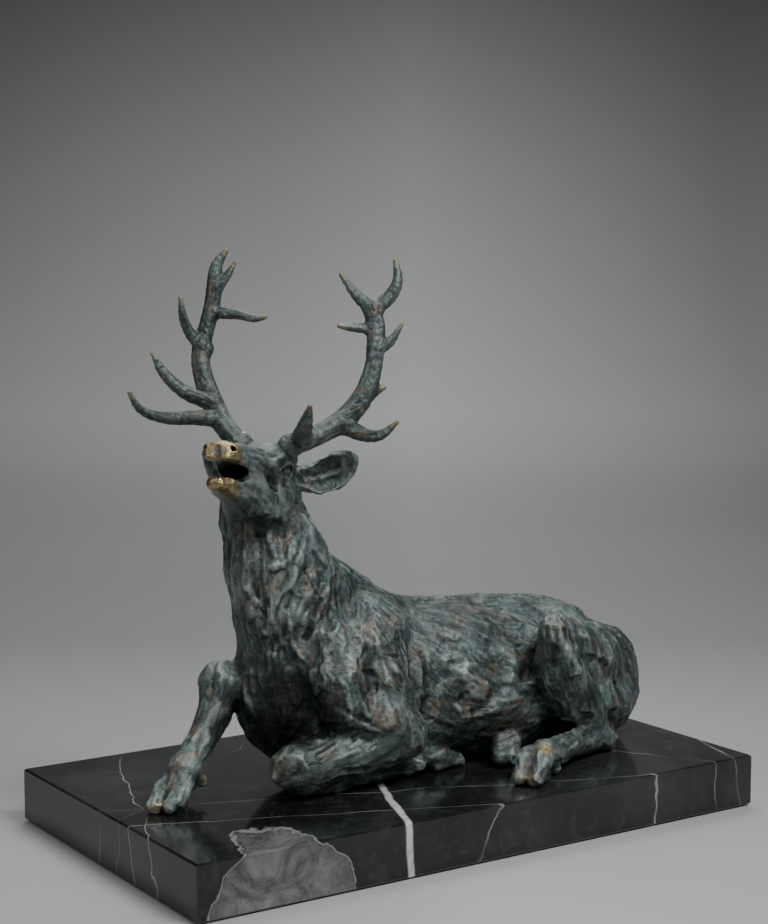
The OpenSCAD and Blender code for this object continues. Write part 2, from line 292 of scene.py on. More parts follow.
# %% Forelegs
L_FORE, R_FORE = "left_foreleg", "right_foreleg"
for region, place in ((L_FORE, WORLD), (R_FORE, MIRRORED)):
    limb(region, [(-22, -24, 114, 13), (-42, -31, 106, 16), (-57, -32, 92, 15)], blend=7, place=place)
limb(L_FORE, [(-31, -20, 121, 12), (-31, -30, 104, 15.5), (-33, -36, 86, 17), (-31, -41, 70, 15)], blend=6)
limb(L_FORE, [(-60, -30, 112, 11), (-61, -33, 94, 14.5), (-55, -37, 76, 14)], blend=4)
limb(L_FORE, [(-54, -38, 76, 14), (-40, -42, 69, 14.5), (-25, -43, 60, 13.5)], blend=5)
limb(L_FORE, [(-22, -43, 57, 13), (-50, -39, 53, 14), (-72, -35.5, 48, 12.5)], blend=4)
limb(L_FORE, [(-72, -35, 48, 12.5), (-84, -33, 46, 11.5)], blend=4)
limb(L_FORE, [(-79, -34, 43, 12.5), (-62, -33, 39, 9.5), (-40, -31, 38, 8.2), (-12, -28, 38, 8)], blend=3)
lump(L_FORE, (-85, -34, 50), (8, 11, 10), blend=5)
limb(L_FORE, [(-94, -30, 50, 3), (-95, -32, 42, 3.4)], blend=5)
lump(L_FORE, (-27, -49, 64), (9, 7.5, 9), blend=4)
limb(L_FORE, [(-12, -28, 38, 8), (0, -27.5, 41, 8.6), (8, -27, 40, 8)], blend=4)
hoof(L_FORE, (0, -27, 42), (9, -26.5, 40), (24, -25.5, 34), 3.6, 6.4)
lump(L_FORE, (-6, -36, 38), (4, 3, 4.4), blend=2)

limb(R_FORE, [(-52, 26, 72, 17), (-76, 20, 78, 13), (-103, 11, 86, 11)], blend=6)
limb(R_FORE, [(-103, 11, 86, 11), (-111, 6, 75, 9), (-124, -3, 62, 7.4), (-137, -9, 50, 7.6)], blend=4)
limb(R_FORE, [(-98, 13, 78, 6), (-108, 7, 66, 5.4), (-124, -2, 54, 5.4)], blend=3)
lump(R_FORE, (-106, 9, 88), (8, 9, 9), blend=5)
lump(R_FORE, (-137, -9, 49), (8, 8.5, 8.5), blend=4)
lump(R_FORE, (-132, -5, 43), (5.5, 7, 8), blend=3)
limb(R_FORE, [(-137, -9, 48, 7.6), (-144, -13, 41, 7.6)], blend=3)
across = hoof(R_FORE, (-143, -11.5, 43), (-148, -14.5, 39), (-156, -19.5, 34), 4.7, 5.8)
for side in (-1, 1):
    lump(R_FORE, np.array((-127.5, -3.5, 40)) + across * 4 * side, (3.4, 3.2, 4.2), blend=1.6)

# %% [markdown]
# ### Hind legs and tail
# The thigh is a broad flat mass that narrows to the stifle; from there the shin drops to the hock, and the
# long shank comes forward along the marble. The far leg is tucked under and only its hoof comes through.

# %% Hind legs and tail
L_HIND = "left_hindleg"
limb(L_HIND, [(124, -20, 78, 22.5), (110, -34, 84, 21), (92, -43, 96, 14.5), (80, -47, 105, 9)], blend=8)
limb(L_HIND, [(139, -18, 56, 19.5), (125, -33, 55, 18.5), (111, -43, 62, 14)], blend=8)
lump(L_HIND, (142, -20, 66), (18, 17, 30), blend=8)
limb(L_HIND, [(77, -48.5, 104, 8.5), (84, -51, 84, 11.5), (99, -50, 58, 9), (110, -47, 40, 8)], blend=4)
limb(L_HIND, [(78, -44, 96, 9), (80, -44, 78, 11.5), (88, -45, 62, 11.5), (104, -46, 46, 8.5)], blend=7)
limb(L_HIND, [(112, -40, 70, 5), (118, -44, 50, 4.6), (119, -46, 38, 4.6)], blend=4)
limb(L_HIND, [(114, -47, 39, 8.4), (90, -54, 40, 7.6), (66, -65, 41, 7.6), (52, -72, 42, 8)], blend=3)
limb(L_HIND, [(112, -48, 45, 5), (90, -55, 44, 4.4), (68, -65, 44, 4.4)], blend=3)
lump(L_HIND, (117, -46, 37), (8, 6.5, 7), blend=4)
lump(L_HIND, (76, -50, 104), (7, 7, 9), blend=4, turn=(0, 20, 0))
limb(L_HIND, [(73, -54, 104, 3), (77, -57, 95, 3.6), (83, -60, 84, 3)], blend=4)
lump(L_HIND, (51, -72, 42), (8.4, 8.4, 8.6), blend=4)
across = hoof(L_HIND, (46, -73.5, 43), (40, -77.5, 40), (31.5, -83, 34.4), 4.4, 6.4)
for side in (-1, 1):
    lump(L_HIND, np.array((55, -70, 35)) + across * 4.5 * side, (4, 3.4, 4), blend=1.6)

R_HIND = "right_hindleg"
limb(R_HIND, [(130, 22, 80, 23), (110, 34, 84, 21), (92, 41, 90, 14), (78, 44, 88, 10)], blend=8)
limb(R_HIND, [(138, 20, 56, 19), (122, 34, 54, 16)], blend=8)
limb(R_HIND, [(76, 44, 84, 10), (92, 43, 60, 12), (108, 38, 41, 9.5)], blend=5)
lump(R_HIND, (74, 45, 85), (7, 8, 9), blend=4)
lump(R_HIND, (112, 40, 38), (8, 7, 7.5), blend=3)
limb(R_HIND, [(110, 36, 39, 8), (96, 20, 39, 8), (86, 8, 39, 8)], blend=4)
R_HOOF = "right_hind_hoof"
limb(R_HOOF, [(86, 6, 39, 8), (72, -15, 41, 8.2), (58, -31, 43, 8.2)], blend=4)
hoof(R_HOOF, (55, -34, 43), (50, -39, 41.5), (45, -46, 36.5), 2.4, 7)
lump(R_HOOF, (52, -39, 44), (7, 6, 5.5), blend=3)
limb("tail", [(152, -2, 80, 8), (161, -2, 68, 7), (165, -3, 55, 5), (163, -4, 44, 2.5)], blend=5)

# %% [markdown]
# ## The head
# The head is modelled in a frame of its own, with its origin midway between the antlers, and then turned and
# tilted as a whole. That is how a sculptor works too: the head is finished on a separate peg and set at its
# angle late. The eye is a ball in a scooped socket with two lids laid over it; the mouth is scooped right
# through the lips, so that it is open from every side.

# %% Head
HEAD_TURN, HEAD_PITCH = 38, 11
head_place = {
    side: Place((-83.5, -1.5, 214), turned(0, -HEAD_PITCH, 180 + HEAD_TURN), side) for side in (1, -1)
}
HEAD = "head_casting"
centred = head_place[1]
limb(HEAD, [(-8, 0, -14, 13.5), (6, 0, -14, 12.6), (22, 0, -13.5, 10.4), (40, 0, -12, 8.4), (54, 0, -10.5, 7.2)],
     blend=7, place=centred)
limb(HEAD, [(-6, 0, -30, 10.5), (12, 0, -32.5, 9), (32, 0, -29, 6.4), (50, 0, -25.5, 4.4)], blend=5, place=centred)
limb(HEAD, [(8, 0, -5.2, 3.8), (30, 0, -4.8, 3.5), (46, 0, -6.4, 4)], blend=4, place=centred)
lump(HEAD, (-5, 0, -2), (9, 9, 4.5), blend=5, place=centred)
for place in head_place.values():
    lump(HEAD, (0, 8, -27), (12, 6.5, 12), blend=5, place=place)
    limb(HEAD, [(-2, 9.5, -27, 8.6), (5, 10, -36, 6.4), (15, 9, -34, 5.8), (32, 6, -29, 4.8), (52, 3, -26.6, 3.4)],
         blend=4, place=place)
    lump(HEAD, (5, 12.2, -16), (10, 4.4, 6), blend=4, place=place)
    limb(HEAD, [(36, 6.4, -21.5, 3.4), (24, 8.4, -23, 5), (8, 10, -25, 7)], blend=3, place=place)
    limb(HEAD, [(15, 12.6, -9.6, 2.8), (8, 14.4, -7.4, 3), (-1, 14.6, -9, 3.2)], blend=3, place=place)
    limb(HEAD, [(5, 8, -6, 5), (0, 11.5, -2.5, 6.2), (-3, 14, 2, 6)], blend=5, place=place)
    lump(HEAD, (55.5, 4.8, -8.2), (7, 5.4, 4.9), blend=2.5, place=place)
    lump(HEAD, (58.6, 6, -7), (3.5, 3.8, 3.4), blend=1.6, place=place)
    lump(HEAD, (56, 4.2, -11), (8.2, 5.6, 3.1), blend=2, place=place)
    limb(HEAD, [(22, 9, -20, 3), (34, 7.2, -18, 2.6), (46, 5.6, -13.6, 2.2)], blend=3, place=place)
    limb(HEAD, [(42, 5.6, -23, 2), (54, 5, -22.6, 2.5), (61, 1.6, -22.8, 2.5)], blend=2, place=place)
lump(HEAD, (56.5, 0, -7), (7, 5, 5), blend=3, place=centred)
lump(HEAD, (56, 0, -25), (7.5, 5.8, 4), blend=3, place=centred)
lump(HEAD, (56, 0, -16.8), (20.5, 12, 3.4), blend=1.4, carve=True, place=centred)
lump(HEAD, (42, 0, -17.4), (15, 5, 3.8), blend=1.5, carve=True, place=centred)
lump(HEAD, (44, 0, -21.4), (13, 3.4, 2.2), blend=1.5, place=centred)
UPPER_LID = [(13, 15, -12.6, 1.1), (9, 17, -9.4, 1.6), (3.6, 17.6, -9, 1.6), (-0.6, 16.6, -12.4, 1.1)]
LOWER_LID = [(13, 15, -13.4, 1), (9, 16.2, -16.4, 1.3), (3.6, 16.6, -16.6, 1.3), (-0.6, 16.6, -13, 1)]
for place in head_place.values():
    lump(HEAD, (6.5, 17.2, -12.8), (5.2, 3, 3.6), blend=2, carve=True, place=place)
    lump(HEAD, (6.2, 15.5, -12.8), (3.7, 3, 3.1), blend=0.5, place=place)
    for lid in (UPPER_LID, LOWER_LID):
        limb(HEAD, smooth_line(lid), blend=0.8, place=place)
    lump(HEAD, (16, 13.4, -19), (4, 3, 4.6), blend=3, carve=True, place=place)
    limb(HEAD, [(56.5, 4.6, -7, 1), (60, 7.2, -6.6, 1.3), (64, 12, -6, 2)], blend=0.6, carve=True, place=place)
    limb(HEAD, [(63.2, 0, -6.5, 0.6), (64, 0, -12, 0.9)], blend=1.6, carve=True, place=place)

# %% [markdown]
# ### Ears
# An ear is a leaf of wax rolled at its root. It is made as a flattened chain of balls with a second, smaller
# chain scooped out of its front, which leaves the thin curled rim that catches the light.

# %% Ears
EAR = [(-4, 14, -13, 4.2), (-8, 20, -15, 6.6), (-13, 27.5, -14, 9.6), (-17.5, 34.5, -9.5, 10), (-21, 40, -5, 6),
       (-23, 43, -2.5, 2.4)]
EAR_FACE = (0.8, 0.56, -0.2)
for region, side in (("left_ear", 1), ("right_ear", -1)):
    limb(region, smooth_line(EAR, 2), blend=2, place=head_place[side], squeeze=(EAR_FACE, 2.2))
    hollow = [(x + 3.2, y + 2.2, z - 0.8, r - 1.6) for x, y, z, r in EAR[1:-1]] + [(-20, 43.5, -3.2, 0.9)]
    limb(region, smooth_line(hollow, 2), blend=1.2, carve=True, place=head_place[side], squeeze=(EAR_FACE, 1.7))
    limb(region, [(-9, 20, -16, 1.2), (-14.6, 28, -14.4, 1), (-19.2, 35.5, -10, 0.7)], blend=2.6,
         place=head_place[side])
print("forms for the figure", len(forms))

# %% [markdown]
# ## From field to skin
# A distance field has no surface until something walks round it. Space is cut into small blocks, and only the
# blocks that the surface crosses are looked at closely. In each small cell with a change of sign one vertex is
# placed, neighbours are joined by quads (this is called surface nets), and every vertex is then slid on to the
# true surface by Newton's method. Only the forms near a block are evaluated in it, which keeps it fast.

# %% Pressing forms together
F32 = np.float32


def press(a, b, k):
    """Soft minimum: two forms pressed together over a join of about k."""
    if k <= 0:
        return np.minimum(a, b)
    h = np.maximum(k - np.abs(a - b), 0) / k
    return np.minimum(a, b) - h * h * (k * 0.25)


print("two surfaces 3 mm off, pressed over 10 mm, come within", float(press(3, 3, 10)), "mm")

# %% [markdown]
# ### Walking round the clay
# A field can be sampled anywhere, but most of space is empty. The block is the unit of work: a look at its
# middle is enough to drop a block far from the surface, and each one that stays knows which forms can reach it.

# %% Clay
class Clay:
    """The distance field of a list of forms, evaluated block by block."""

    def __init__(self, forms, step, floor=None):
        self.forms = forms
        self.step = step
        self.floor = floor
        self.cells = 8
        self.block = step * self.cells
        low = np.min([f.middle - f.reach for f in forms], axis=0) - 4
        high = np.max([f.middle + f.reach for f in forms], axis=0) + 4
        if floor is not None:
            low[2] = floor - 1.5 * step
        self.low = low
        self.counts = np.ceil((high - low) / self.block).astype(int)
        self.find_blocks()

    def near(self, centres, half):
        """For each form, which block centres it can touch."""
        return [f.distance(centres) < f.steep * (1.6 * half + f.blend + 1.5 * self.step) for f in self.forms]

    def combine(self, n, pieces):
        """Press the forms together, in order; pieces yields (indices, distances, form)."""
        total = np.full(n, 60, F32)
        limb, current = None, None

        def press_on(index, d, form):
            if form.carve:
                total[index] = -press(-total[index], d, form.blend)
            else:
                total[index] = press(total[index], d, form.blend)

        for index, d, form in pieces:
            if current is not None and form.limb != current.limb:
                whole = np.flatnonzero(limb < 59)
                press_on(whole, limb[whole], current)
                limb, current = None, None
            if form.limb is None:
                press_on(index, d, form)
            else:
                if limb is None:
                    limb, current = np.full(n, 60, F32), form
                limb[index] = press(limb[index], d, 0.5)
        if current is not None:
            whole = np.flatnonzero(limb < 59)
            press_on(whole, limb[whole], current)
        return total

    def find_blocks(self):
        nx, ny, nz = self.counts
        grid = np.stack(np.meshgrid(range(nx), range(ny), range(nz), indexing="ij"), -1).reshape(-1, 3)
        centres = (self.low + (grid + 0.5) * self.block).astype(F32)
        half = self.block * 0.866
        reach = np.zeros(len(grid), bool)
        for f in self.forms:
            away = np.linalg.norm(centres - f.middle.astype(F32), axis=1)
            if not f.carve:
                reach |= away < f.reach + half + 4
        grid, centres = grid[reach], centres[reach]
        probes = np.array([(i, j, k) for i in (-1, 0, 1) for j in (-1, 0, 1) for k in (-1, 0, 1)]) * self.block / 2
        points = (centres[:, None] + probes[None].astype(F32)).reshape(-1, 3)
        near = [np.repeat(n, 27) for n in self.near(centres, half)]
        values = self.sample(points, near).reshape(-1, 27)
        keep = (values.min(1) < self.block * 0.42) & (values.max(1) > -self.block * 0.42)
        self.grid, self.centres = grid[keep], centres[keep]
        self.active = self.near(self.centres, half)

    def sample(self, points, near):
        """The field at points; near has a mask of points for each form."""
        def pieces():
            for form, mask in zip(self.forms, near):
                index = np.flatnonzero(mask)
                if len(index):
                    yield index, form.distance(points[index]).astype(F32), form
        return self.combine(len(points), pieces())

    def at(self, points, block):
        """The field at points that lie in the given blocks."""
        return self.sample(points, [a[block] for a in self.active])

    def skin(self):
        """Vertices, quads and the block of each vertex."""
        n, h = self.cells, self.step
        offsets = np.stack(np.meshgrid(*[range(n + 1)] * 3, indexing="ij"), -1).reshape(-1, 3)
        total = len(self.grid)
        corner = self.low + self.grid * self.block
        values = np.empty((total, (n + 1) ** 3), F32)
        for start in range(0, total, 1500):
            part = slice(start, min(start + 1500, total))
            points = (corner[part, None] + offsets[None] * h).astype(F32).reshape(-1, 3)
            near = [np.repeat(a[part], len(offsets)) for a in self.active]
            values[part] = self.sample(points, near).reshape(-1, len(offsets))
        values = values.reshape(total, n + 1, n + 1, n + 1)
        inside = values < 0
        # one vertex in each cell whose corners differ, at the mean of its edge crossings
        corners = [(i, j, k) for i in (0, 1) for j in (0, 1) for k in (0, 1)]
        picked = [inside[:, i:n + i, j:n + j, k:n + k] for i, j, k in corners]
        count = sum(p.astype(np.int8) for p in picked)
        b, i, j, k = np.nonzero((count > 0) & (count < 8))
        cell = np.stack([i, j, k], 1)
        local = np.array([values[b, i + x, j + y, k + z] for x, y, z in corners])
        mean = np.zeros((len(b), 3))
        crossings = np.zeros(len(b))
        for p, cp in enumerate(corners):
            for q, cq in enumerate(corners):
                if q > p and sum(abs(u - v) for u, v in zip(cp, cq)) == 1:
                    cut = (local[p] < 0) != (local[q] < 0)
                    t = np.where(cut, local[p] / np.where(cut, local[p] - local[q], 1), 0)
                    at = np.array(cp) + t[:, None] * (np.array(cq) - np.array(cp))
                    mean += at * cut[:, None]
                    crossings += cut
        verts = corner[b] + (cell + mean / crossings[:, None]) * h
        # quads round each crossed grid edge
        _, sy, sz = self.counts * n + 2
        whole = self.grid[b] * n + cell

        def key(c):
            return (c[:, 0] * sy + c[:, 1]) * sz + c[:, 2]

        keys = key(whole)
        order = np.argsort(keys)
        ordered = keys[order]
        quads = []
        for axis in range(3):
            ahead = [0, 0, 0]
            ahead[axis] = 1
            a = inside[:, :n, :n, :n]
            c = inside[:, ahead[0]:n + ahead[0], ahead[1]:n + ahead[1], ahead[2]:n + ahead[2]]
            b2, i, j, k = np.nonzero(a != c)
            cell2 = self.grid[b2] * n + np.stack([i, j, k], 1)
            u, v = np.eye(3, dtype=int)[(axis + 1) % 3], np.eye(3, dtype=int)[(axis + 2) % 3]
            around = [cell2, cell2 - u, cell2 - u - v, cell2 - v]
            found = []
            good = np.ones(len(cell2), bool)
            for c in around:
                wanted = key(c)
                at = np.minimum(np.searchsorted(ordered, wanted), len(ordered) - 1)
                good &= ordered[at] == wanted
                found.append(order[at])
            quad = np.stack(found, 1)[good]
            flip = ~a[b2, i, j, k][good]
            quad[flip] = quad[flip][:, ::-1]
            quads.append(quad)
        quads = np.vstack(quads)
        verts, block = self.settle(verts.astype(F32), b)
        return verts, quads, block

    def slope(self, points, block, step=0.05):
        """Field value and its gradient at points."""
        here = self.at(points, block)
        grad = np.empty((len(points), 3), F32)
        for axis in range(3):
            moved = points.copy()
            moved[:, axis] += step
            grad[:, axis] = (self.at(moved, block) - here) / step
        return here, grad

    def settle(self, verts, block, rounds=2):
        """Slide vertices on to the surface."""
        for _ in range(rounds):
            here, grad = self.slope(verts, block)
            size2 = np.maximum((grad * grad).sum(1), 0.05)
            move = np.clip(here / size2, -self.step, self.step)
            verts = verts - move[:, None] * grad
        return verts, block


# %% [markdown]
# ### Normals, edges and smoothing
# The skin is a plain list of vertices and quads, so that whole arrays can be worked on at once. Three helpers
# are needed for it again and again: normals, edges, and an average of each vertex with its neighbours.

# %% Mesh helpers
def normals_of(verts, quads):
    """Area-weighted vertex normals."""
    face = np.cross(verts[quads[:, 2]] - verts[quads[:, 0]], verts[quads[:, 3]] - verts[quads[:, 1]])
    out = np.zeros((len(verts), 3))
    for axis in range(3):
        for corner in range(4):
            out[:, axis] += np.bincount(quads[:, corner], face[:, axis], len(verts))
    return out / np.maximum(np.linalg.norm(out, axis=1), 1e-9)[:, None]


def edges_of(quads):
    """Each edge once."""
    pairs = np.vstack([quads[:, [0, 1]], quads[:, [1, 2]], quads[:, [2, 3]], quads[:, [3, 0]]])
    pairs.sort(axis=1)
    span = int(pairs.max()) + 1
    keys = np.unique(pairs[:, 0].astype(np.int64) * span + pairs[:, 1])
    return np.stack([keys // span, keys % span], 1)


def relaxed(values, edges, rounds, count):
    """Average each vertex's values with its neighbours', over and over."""
    values = values.astype(float)
    flat = values.reshape(len(values), -1)
    for _ in range(rounds):
        total = flat.copy()
        for column in range(flat.shape[1]):
            total[:, column] += np.bincount(edges[:, 0], flat[edges[:, 1], column], len(flat))
            total[:, column] += np.bincount(edges[:, 1], flat[edges[:, 0], column], len(flat))
        flat = total / (count + 1)[:, None]
    return flat.reshape(values.shape)


# %% [markdown]
# ### The skin of the figure
# The cells are under a millimetre wide, which is finer than the marks of the tool.

# %% Skin of the figure
FINE_STEP, QUICK_STEP = 0.8, 1.5  # width of a cell, in millimetres
clock = time.time()
figure = Clay(forms, FINE_STEP, floor=marble_top)
verts, quads, block = figure.skin()
print("figure skin", len(verts), "vertices", len(quads), "quads,", len(figure.grid), "blocks",
      round(time.time() - clock, 1), "s")

# %% [markdown]
# ## Cutting the skin into castings
# The statuette was cast in sections, so the skin is shared out between them: each vertex belongs to the
# section whose clay is nearest. Small stray islands are given back to a neighbour, except a speck that touches
# none. Where the stag rests on the marble the skin is trimmed to the plane.

# %% Sharing out the skin
def trim_to_floor(clay, verts, quads, block, floor):
    """Drop what lies under the floor and slide the rim on to it."""
    under = verts[:, 2] < floor
    edges = edges_of(quads)
    crossing = edges[under[edges[:, 0]] != under[edges[:, 1]]]
    low = np.where(under[crossing[:, 0]], crossing[:, 0], crossing[:, 1])
    high = np.where(under[crossing[:, 0]], crossing[:, 1], crossing[:, 0])
    t = (floor - verts[low, 2]) / (verts[high, 2] - verts[low, 2])
    at = verts[low] + t[:, None] * (verts[high] - verts[low])
    hits = np.bincount(low, minlength=len(verts))
    rim = np.flatnonzero(hits)
    for axis in range(3):
        verts[rim, axis] = np.bincount(low, at[:, axis], len(verts))[rim] / hits[rim]
    verts[rim, 2] = floor
    for _ in range(3):
        here, grad = clay.slope(verts[rim], block[rim])
        grad[:, 2] = 0
        size2 = np.maximum((grad * grad).sum(1), 0.2)
        verts[rim] -= np.clip(here / size2, -0.3, 0.3)[:, None] * grad
    keep = ~under[quads].all(1)
    quads = quads[keep]
    used = np.zeros(len(verts), bool)
    used[quads] = True
    number = np.cumsum(used) - 1
    return verts[used], number[quads], block[used]


def label_by_form(clay, verts, block, names):
    """The section whose clay is nearest to each vertex."""
    best = np.full(len(verts), 1e9, F32)
    label = np.zeros(len(verts), int)
    for form, mask in zip(clay.forms, clay.active):
        if form.carve:
            continue
        index = np.flatnonzero(mask[block])
        d = form.distance(verts[index])
        closer = d < best[index]
        best[index[closer]] = d[closer]
        label[index[closer]] = names.index(form.region)
    return label


def share_faces(label, quads, edges, degree, names):
    """One section for each face, with smooth borders and no islands."""
    votes = relaxed(np.eye(len(names))[label], edges, 4, degree)
    face = votes[quads].sum(1).argmax(1)
    for _ in range(3):
        changed = False
        for k in range(len(names)):
            own = np.flatnonzero(face == k)
            if not len(own):
                continue
            part = np.arange(int(quads.max()) + 1)
            while True:
                low = part[quads[own]].min(1)
                before = part.copy()
                for corner in range(4):
                    np.minimum.at(part, quads[own, corner], low)
                part = part[part]
                if (part == before).all():
                    break
            roots = part[quads[own, 0]]
            kinds, sizes = np.unique(roots, return_counts=True)
            for root in kinds[sizes < sizes.max()]:
                island = own[roots == root]
                touching = np.zeros(len(part), bool)
                touching[quads[island]] = True
                round_it = np.flatnonzero(touching[quads].any(1) & (face != k))
                if len(round_it):
                    face[island] = np.bincount(face[round_it]).argmax()
                    changed = True
        if not changed:
            break
    return face


# %% [markdown]
# ### Closing a section
# A real casting is a shell a few millimetres thick. Here each one is closed with a cap over every open rim, so
# that it is a filled piece with no open edge. The caps lie inside the bronze or against the stone, out of
# sight, and a closed mesh is what other tools need in order to measure or move a piece.

# %% Closed pieces
def rims(faces):
    """The open boundary loops of a set of quads."""
    a = faces.reshape(-1)
    b = np.roll(faces, -1, axis=1).reshape(-1)
    span = int(faces.max()) + 1
    forward = a.astype(np.int64) * span + b
    backward = b.astype(np.int64) * span + a
    free = ~np.isin(forward, backward)
    onward = {}
    for p, q in zip(a[free].tolist(), b[free].tolist()):
        onward.setdefault(p, []).append(q)
    loops = []
    while onward:
        start = next(iter(onward))
        loop, at = [], start
        while at in onward:
            loop.append(at)
            following = onward[at].pop()
            if not onward[at]:
                del onward[at]
            at = following
        loops.append(loop)
    return loops


def add_object(name, verts, quads, tris=(), attributes=None, normals=None):
    """A mesh object in metres from millimetre vertices."""
    mesh = bpy.data.meshes.new(name)
    quads, tris = np.asarray(quads, int).reshape(-1, 4), np.asarray(tris, int).reshape(-1, 3)
    mesh.vertices.add(len(verts))
    mesh.vertices.foreach_set("co", (np.asarray(verts, float) * MM).ravel())
    mesh.loops.add(quads.size + tris.size)
    mesh.loops.foreach_set("vertex_index", np.concatenate([quads.ravel(), tris.ravel()]))
    mesh.polygons.add(len(quads) + len(tris))
    sizes = np.concatenate([np.full(len(quads), 4), np.full(len(tris), 3)])
    mesh.polygons.foreach_set("loop_start", np.concatenate([[0], np.cumsum(sizes)[:-1]]))
    mesh.update(calc_edges=True)
    mesh.polygons.foreach_set("use_smooth", np.ones(len(sizes), bool))
    for key, values in (attributes or {}).items():
        layer = mesh.attributes.new(key, "FLOAT", "POINT")
        layer.data.foreach_set("value", np.asarray(values, F32))
    if normals is not None:
        mesh.validate()
        mesh.normals_split_custom_set_from_vertices(np.asarray(normals, float))
    obj = bpy.data.objects.new(name, mesh)
    bpy.context.scene.collection.objects.link(obj)
    return obj


def closed_piece(name, verts, faces, inward, attributes):
    """An object from some quads of a skin, with its rims capped towards the inside."""
    used = np.zeros(len(verts), bool)
    used[faces] = True
    number = np.cumsum(used) - 1
    own = verts[used].astype(float)
    local = number[faces]
    data = {key: value[used].astype(float) for key, value in attributes.items()}
    normals = inward[used]
    tris, extra = [], []
    for loop in rims(local):
        ring = own[loop]
        middle = ring.mean(0)
        deep = normals[loop].mean(0)
        middle = middle - deep * 0.35 * np.linalg.norm(ring - middle, axis=1).mean()
        middle[2] = max(middle[2], marble_top)
        at = len(own) + len(extra)
        extra.append(middle)
        tris += [(b, a, at) for a, b in zip(loop, loop[1:] + loop[:1])]
    if extra:
        own = np.vstack([own, extra])
        normals = np.vstack([normals, np.tile((0, 0, 1), (len(extra), 1))])
        data = {key: np.concatenate([value, np.zeros(len(extra))]) for key, value in data.items()}
    return add_object(name, own, local, tris, data, normals)


# %% [markdown]
# ### The sections of this figure
# Each form of the clay has carried the name of its casting from the start, so the cuts need no drawing.

# %% Sections
NAMES = sorted({f.region for f in forms})
verts, quads, block = trim_to_floor(figure, verts, quads, block, marble_top)
edges = edges_of(quads)
degree = np.bincount(edges.ravel(), minlength=len(verts))
label = label_by_form(figure, verts, block, NAMES)
face_of = share_faces(label, quads, edges, degree, NAMES)
print("sections", {n: int((face_of == k).sum()) for k, n in enumerate(NAMES)}, round(time.time() - clock, 1), "s")

# %% [markdown]
# ## Strokes of the modelling tool
# The surface of such a bronze keeps the marks of the clay: ridges drawn with a thumb, locks of the mane laid
# on with a tool, and pressed pellets everywhere. A stroke is a path on the skin with a width and a height.
# Placed strokes draw the anatomy; loose ones follow a field of guides, which says how the coat lies at each
# place, as the hair of a real stag does. Moving real vertices was chosen over a bump map, because the marks
# have to show on the outline and in raking light.

# %% Soft random values
NOISE = np.random.default_rng(7).random((32, 32, 32))


def ramp(values, low, high):
    """0 at low, 1 at high, with soft ends."""
    t = np.clip((values - low) / (high - low), 0, 1)
    return t * t * (3 - 2 * t)


def lumps_of(p, size, seed=0):
    """Smooth random values from -1 to 1 with features of about the given size."""
    q = p / size + 11.3 * seed + 100
    cell = np.floor(q).astype(int)
    f = q - cell
    f = f * f * (3 - 2 * f)
    out = np.zeros(len(p))
    for dx, dy, dz in ((x, y, z) for x in (0, 1) for y in (0, 1) for z in (0, 1)):
        weight = np.where(dx, f[:, 0], 1 - f[:, 0]) * np.where(dy, f[:, 1], 1 - f[:, 1])
        weight = weight * np.where(dz, f[:, 2], 1 - f[:, 2])
        i, j, k = ((cell + (dx, dy, dz)) % 32).T
        out += weight * NOISE[i, j, k]
    return out * 2 - 1


# %% [markdown]
# ### Finding neighbours on the skin
# A stroke touches a few hundred of several hundred thousand vertices. Sorting the vertices into cells of five
# millimetres finds them without looking at the rest.

# %% Skin cells
class Skin:
    """Vertices with normals, sorted into small cells so that a stroke finds its neighbours quickly."""

    CELL = 5.0

    def __init__(self, verts, quads):
        self.verts = verts.astype(float)
        self.quads = quads
        self.refresh()

    def refresh(self):
        """Normals and cells again, after the vertices have moved."""
        self.normals = normals_of(self.verts, self.quads)
        cell = np.floor(self.verts / self.CELL).astype(int)
        keys = self.key(cell)
        self.order = np.argsort(keys, kind="stable")
        ordered = keys[self.order]
        starts = np.flatnonzero(np.r_[True, ordered[1:] != ordered[:-1]])
        ends = np.r_[starts[1:], len(ordered)]
        self.cells = {int(ordered[a]): (a, b) for a, b in zip(starts, ends)}

    @staticmethod
    def key(cell):
        cell = np.asarray(cell) + 200
        return (cell[..., 0] * 1000 + cell[..., 1]) * 1000 + cell[..., 2]

    def around(self, low, high):
        """Vertices in the cells that a box touches."""
        a = np.floor(low / self.CELL).astype(int)
        b = np.floor(high / self.CELL).astype(int)
        grid = np.stack(np.meshgrid(*[np.arange(a[k], b[k] + 1) for k in range(3)], indexing="ij"), -1).reshape(-1, 3)
        spans = [self.cells[k] for k in self.key(grid).tolist() if k in self.cells]
        if not spans:
            return np.zeros(0, int)
        return np.concatenate([self.order[s:e] for s, e in spans])

    def nearest(self, point, reach=6.0):
        """The vertex nearest to a point, or -1."""
        index = self.around(point - reach, point + reach)
        if not len(index):
            return -1
        d = self.verts[index] - point
        return int(index[(d * d).sum(1).argmin()])


# %% [markdown]
# ### One stroke
# A stroke has a rounded section that falls to nothing at its edge, like clay under a thumb, or a flat one like
# the mark of a slat. A little unevenness in its path and its pressure keeps it from looking drawn by a machine.

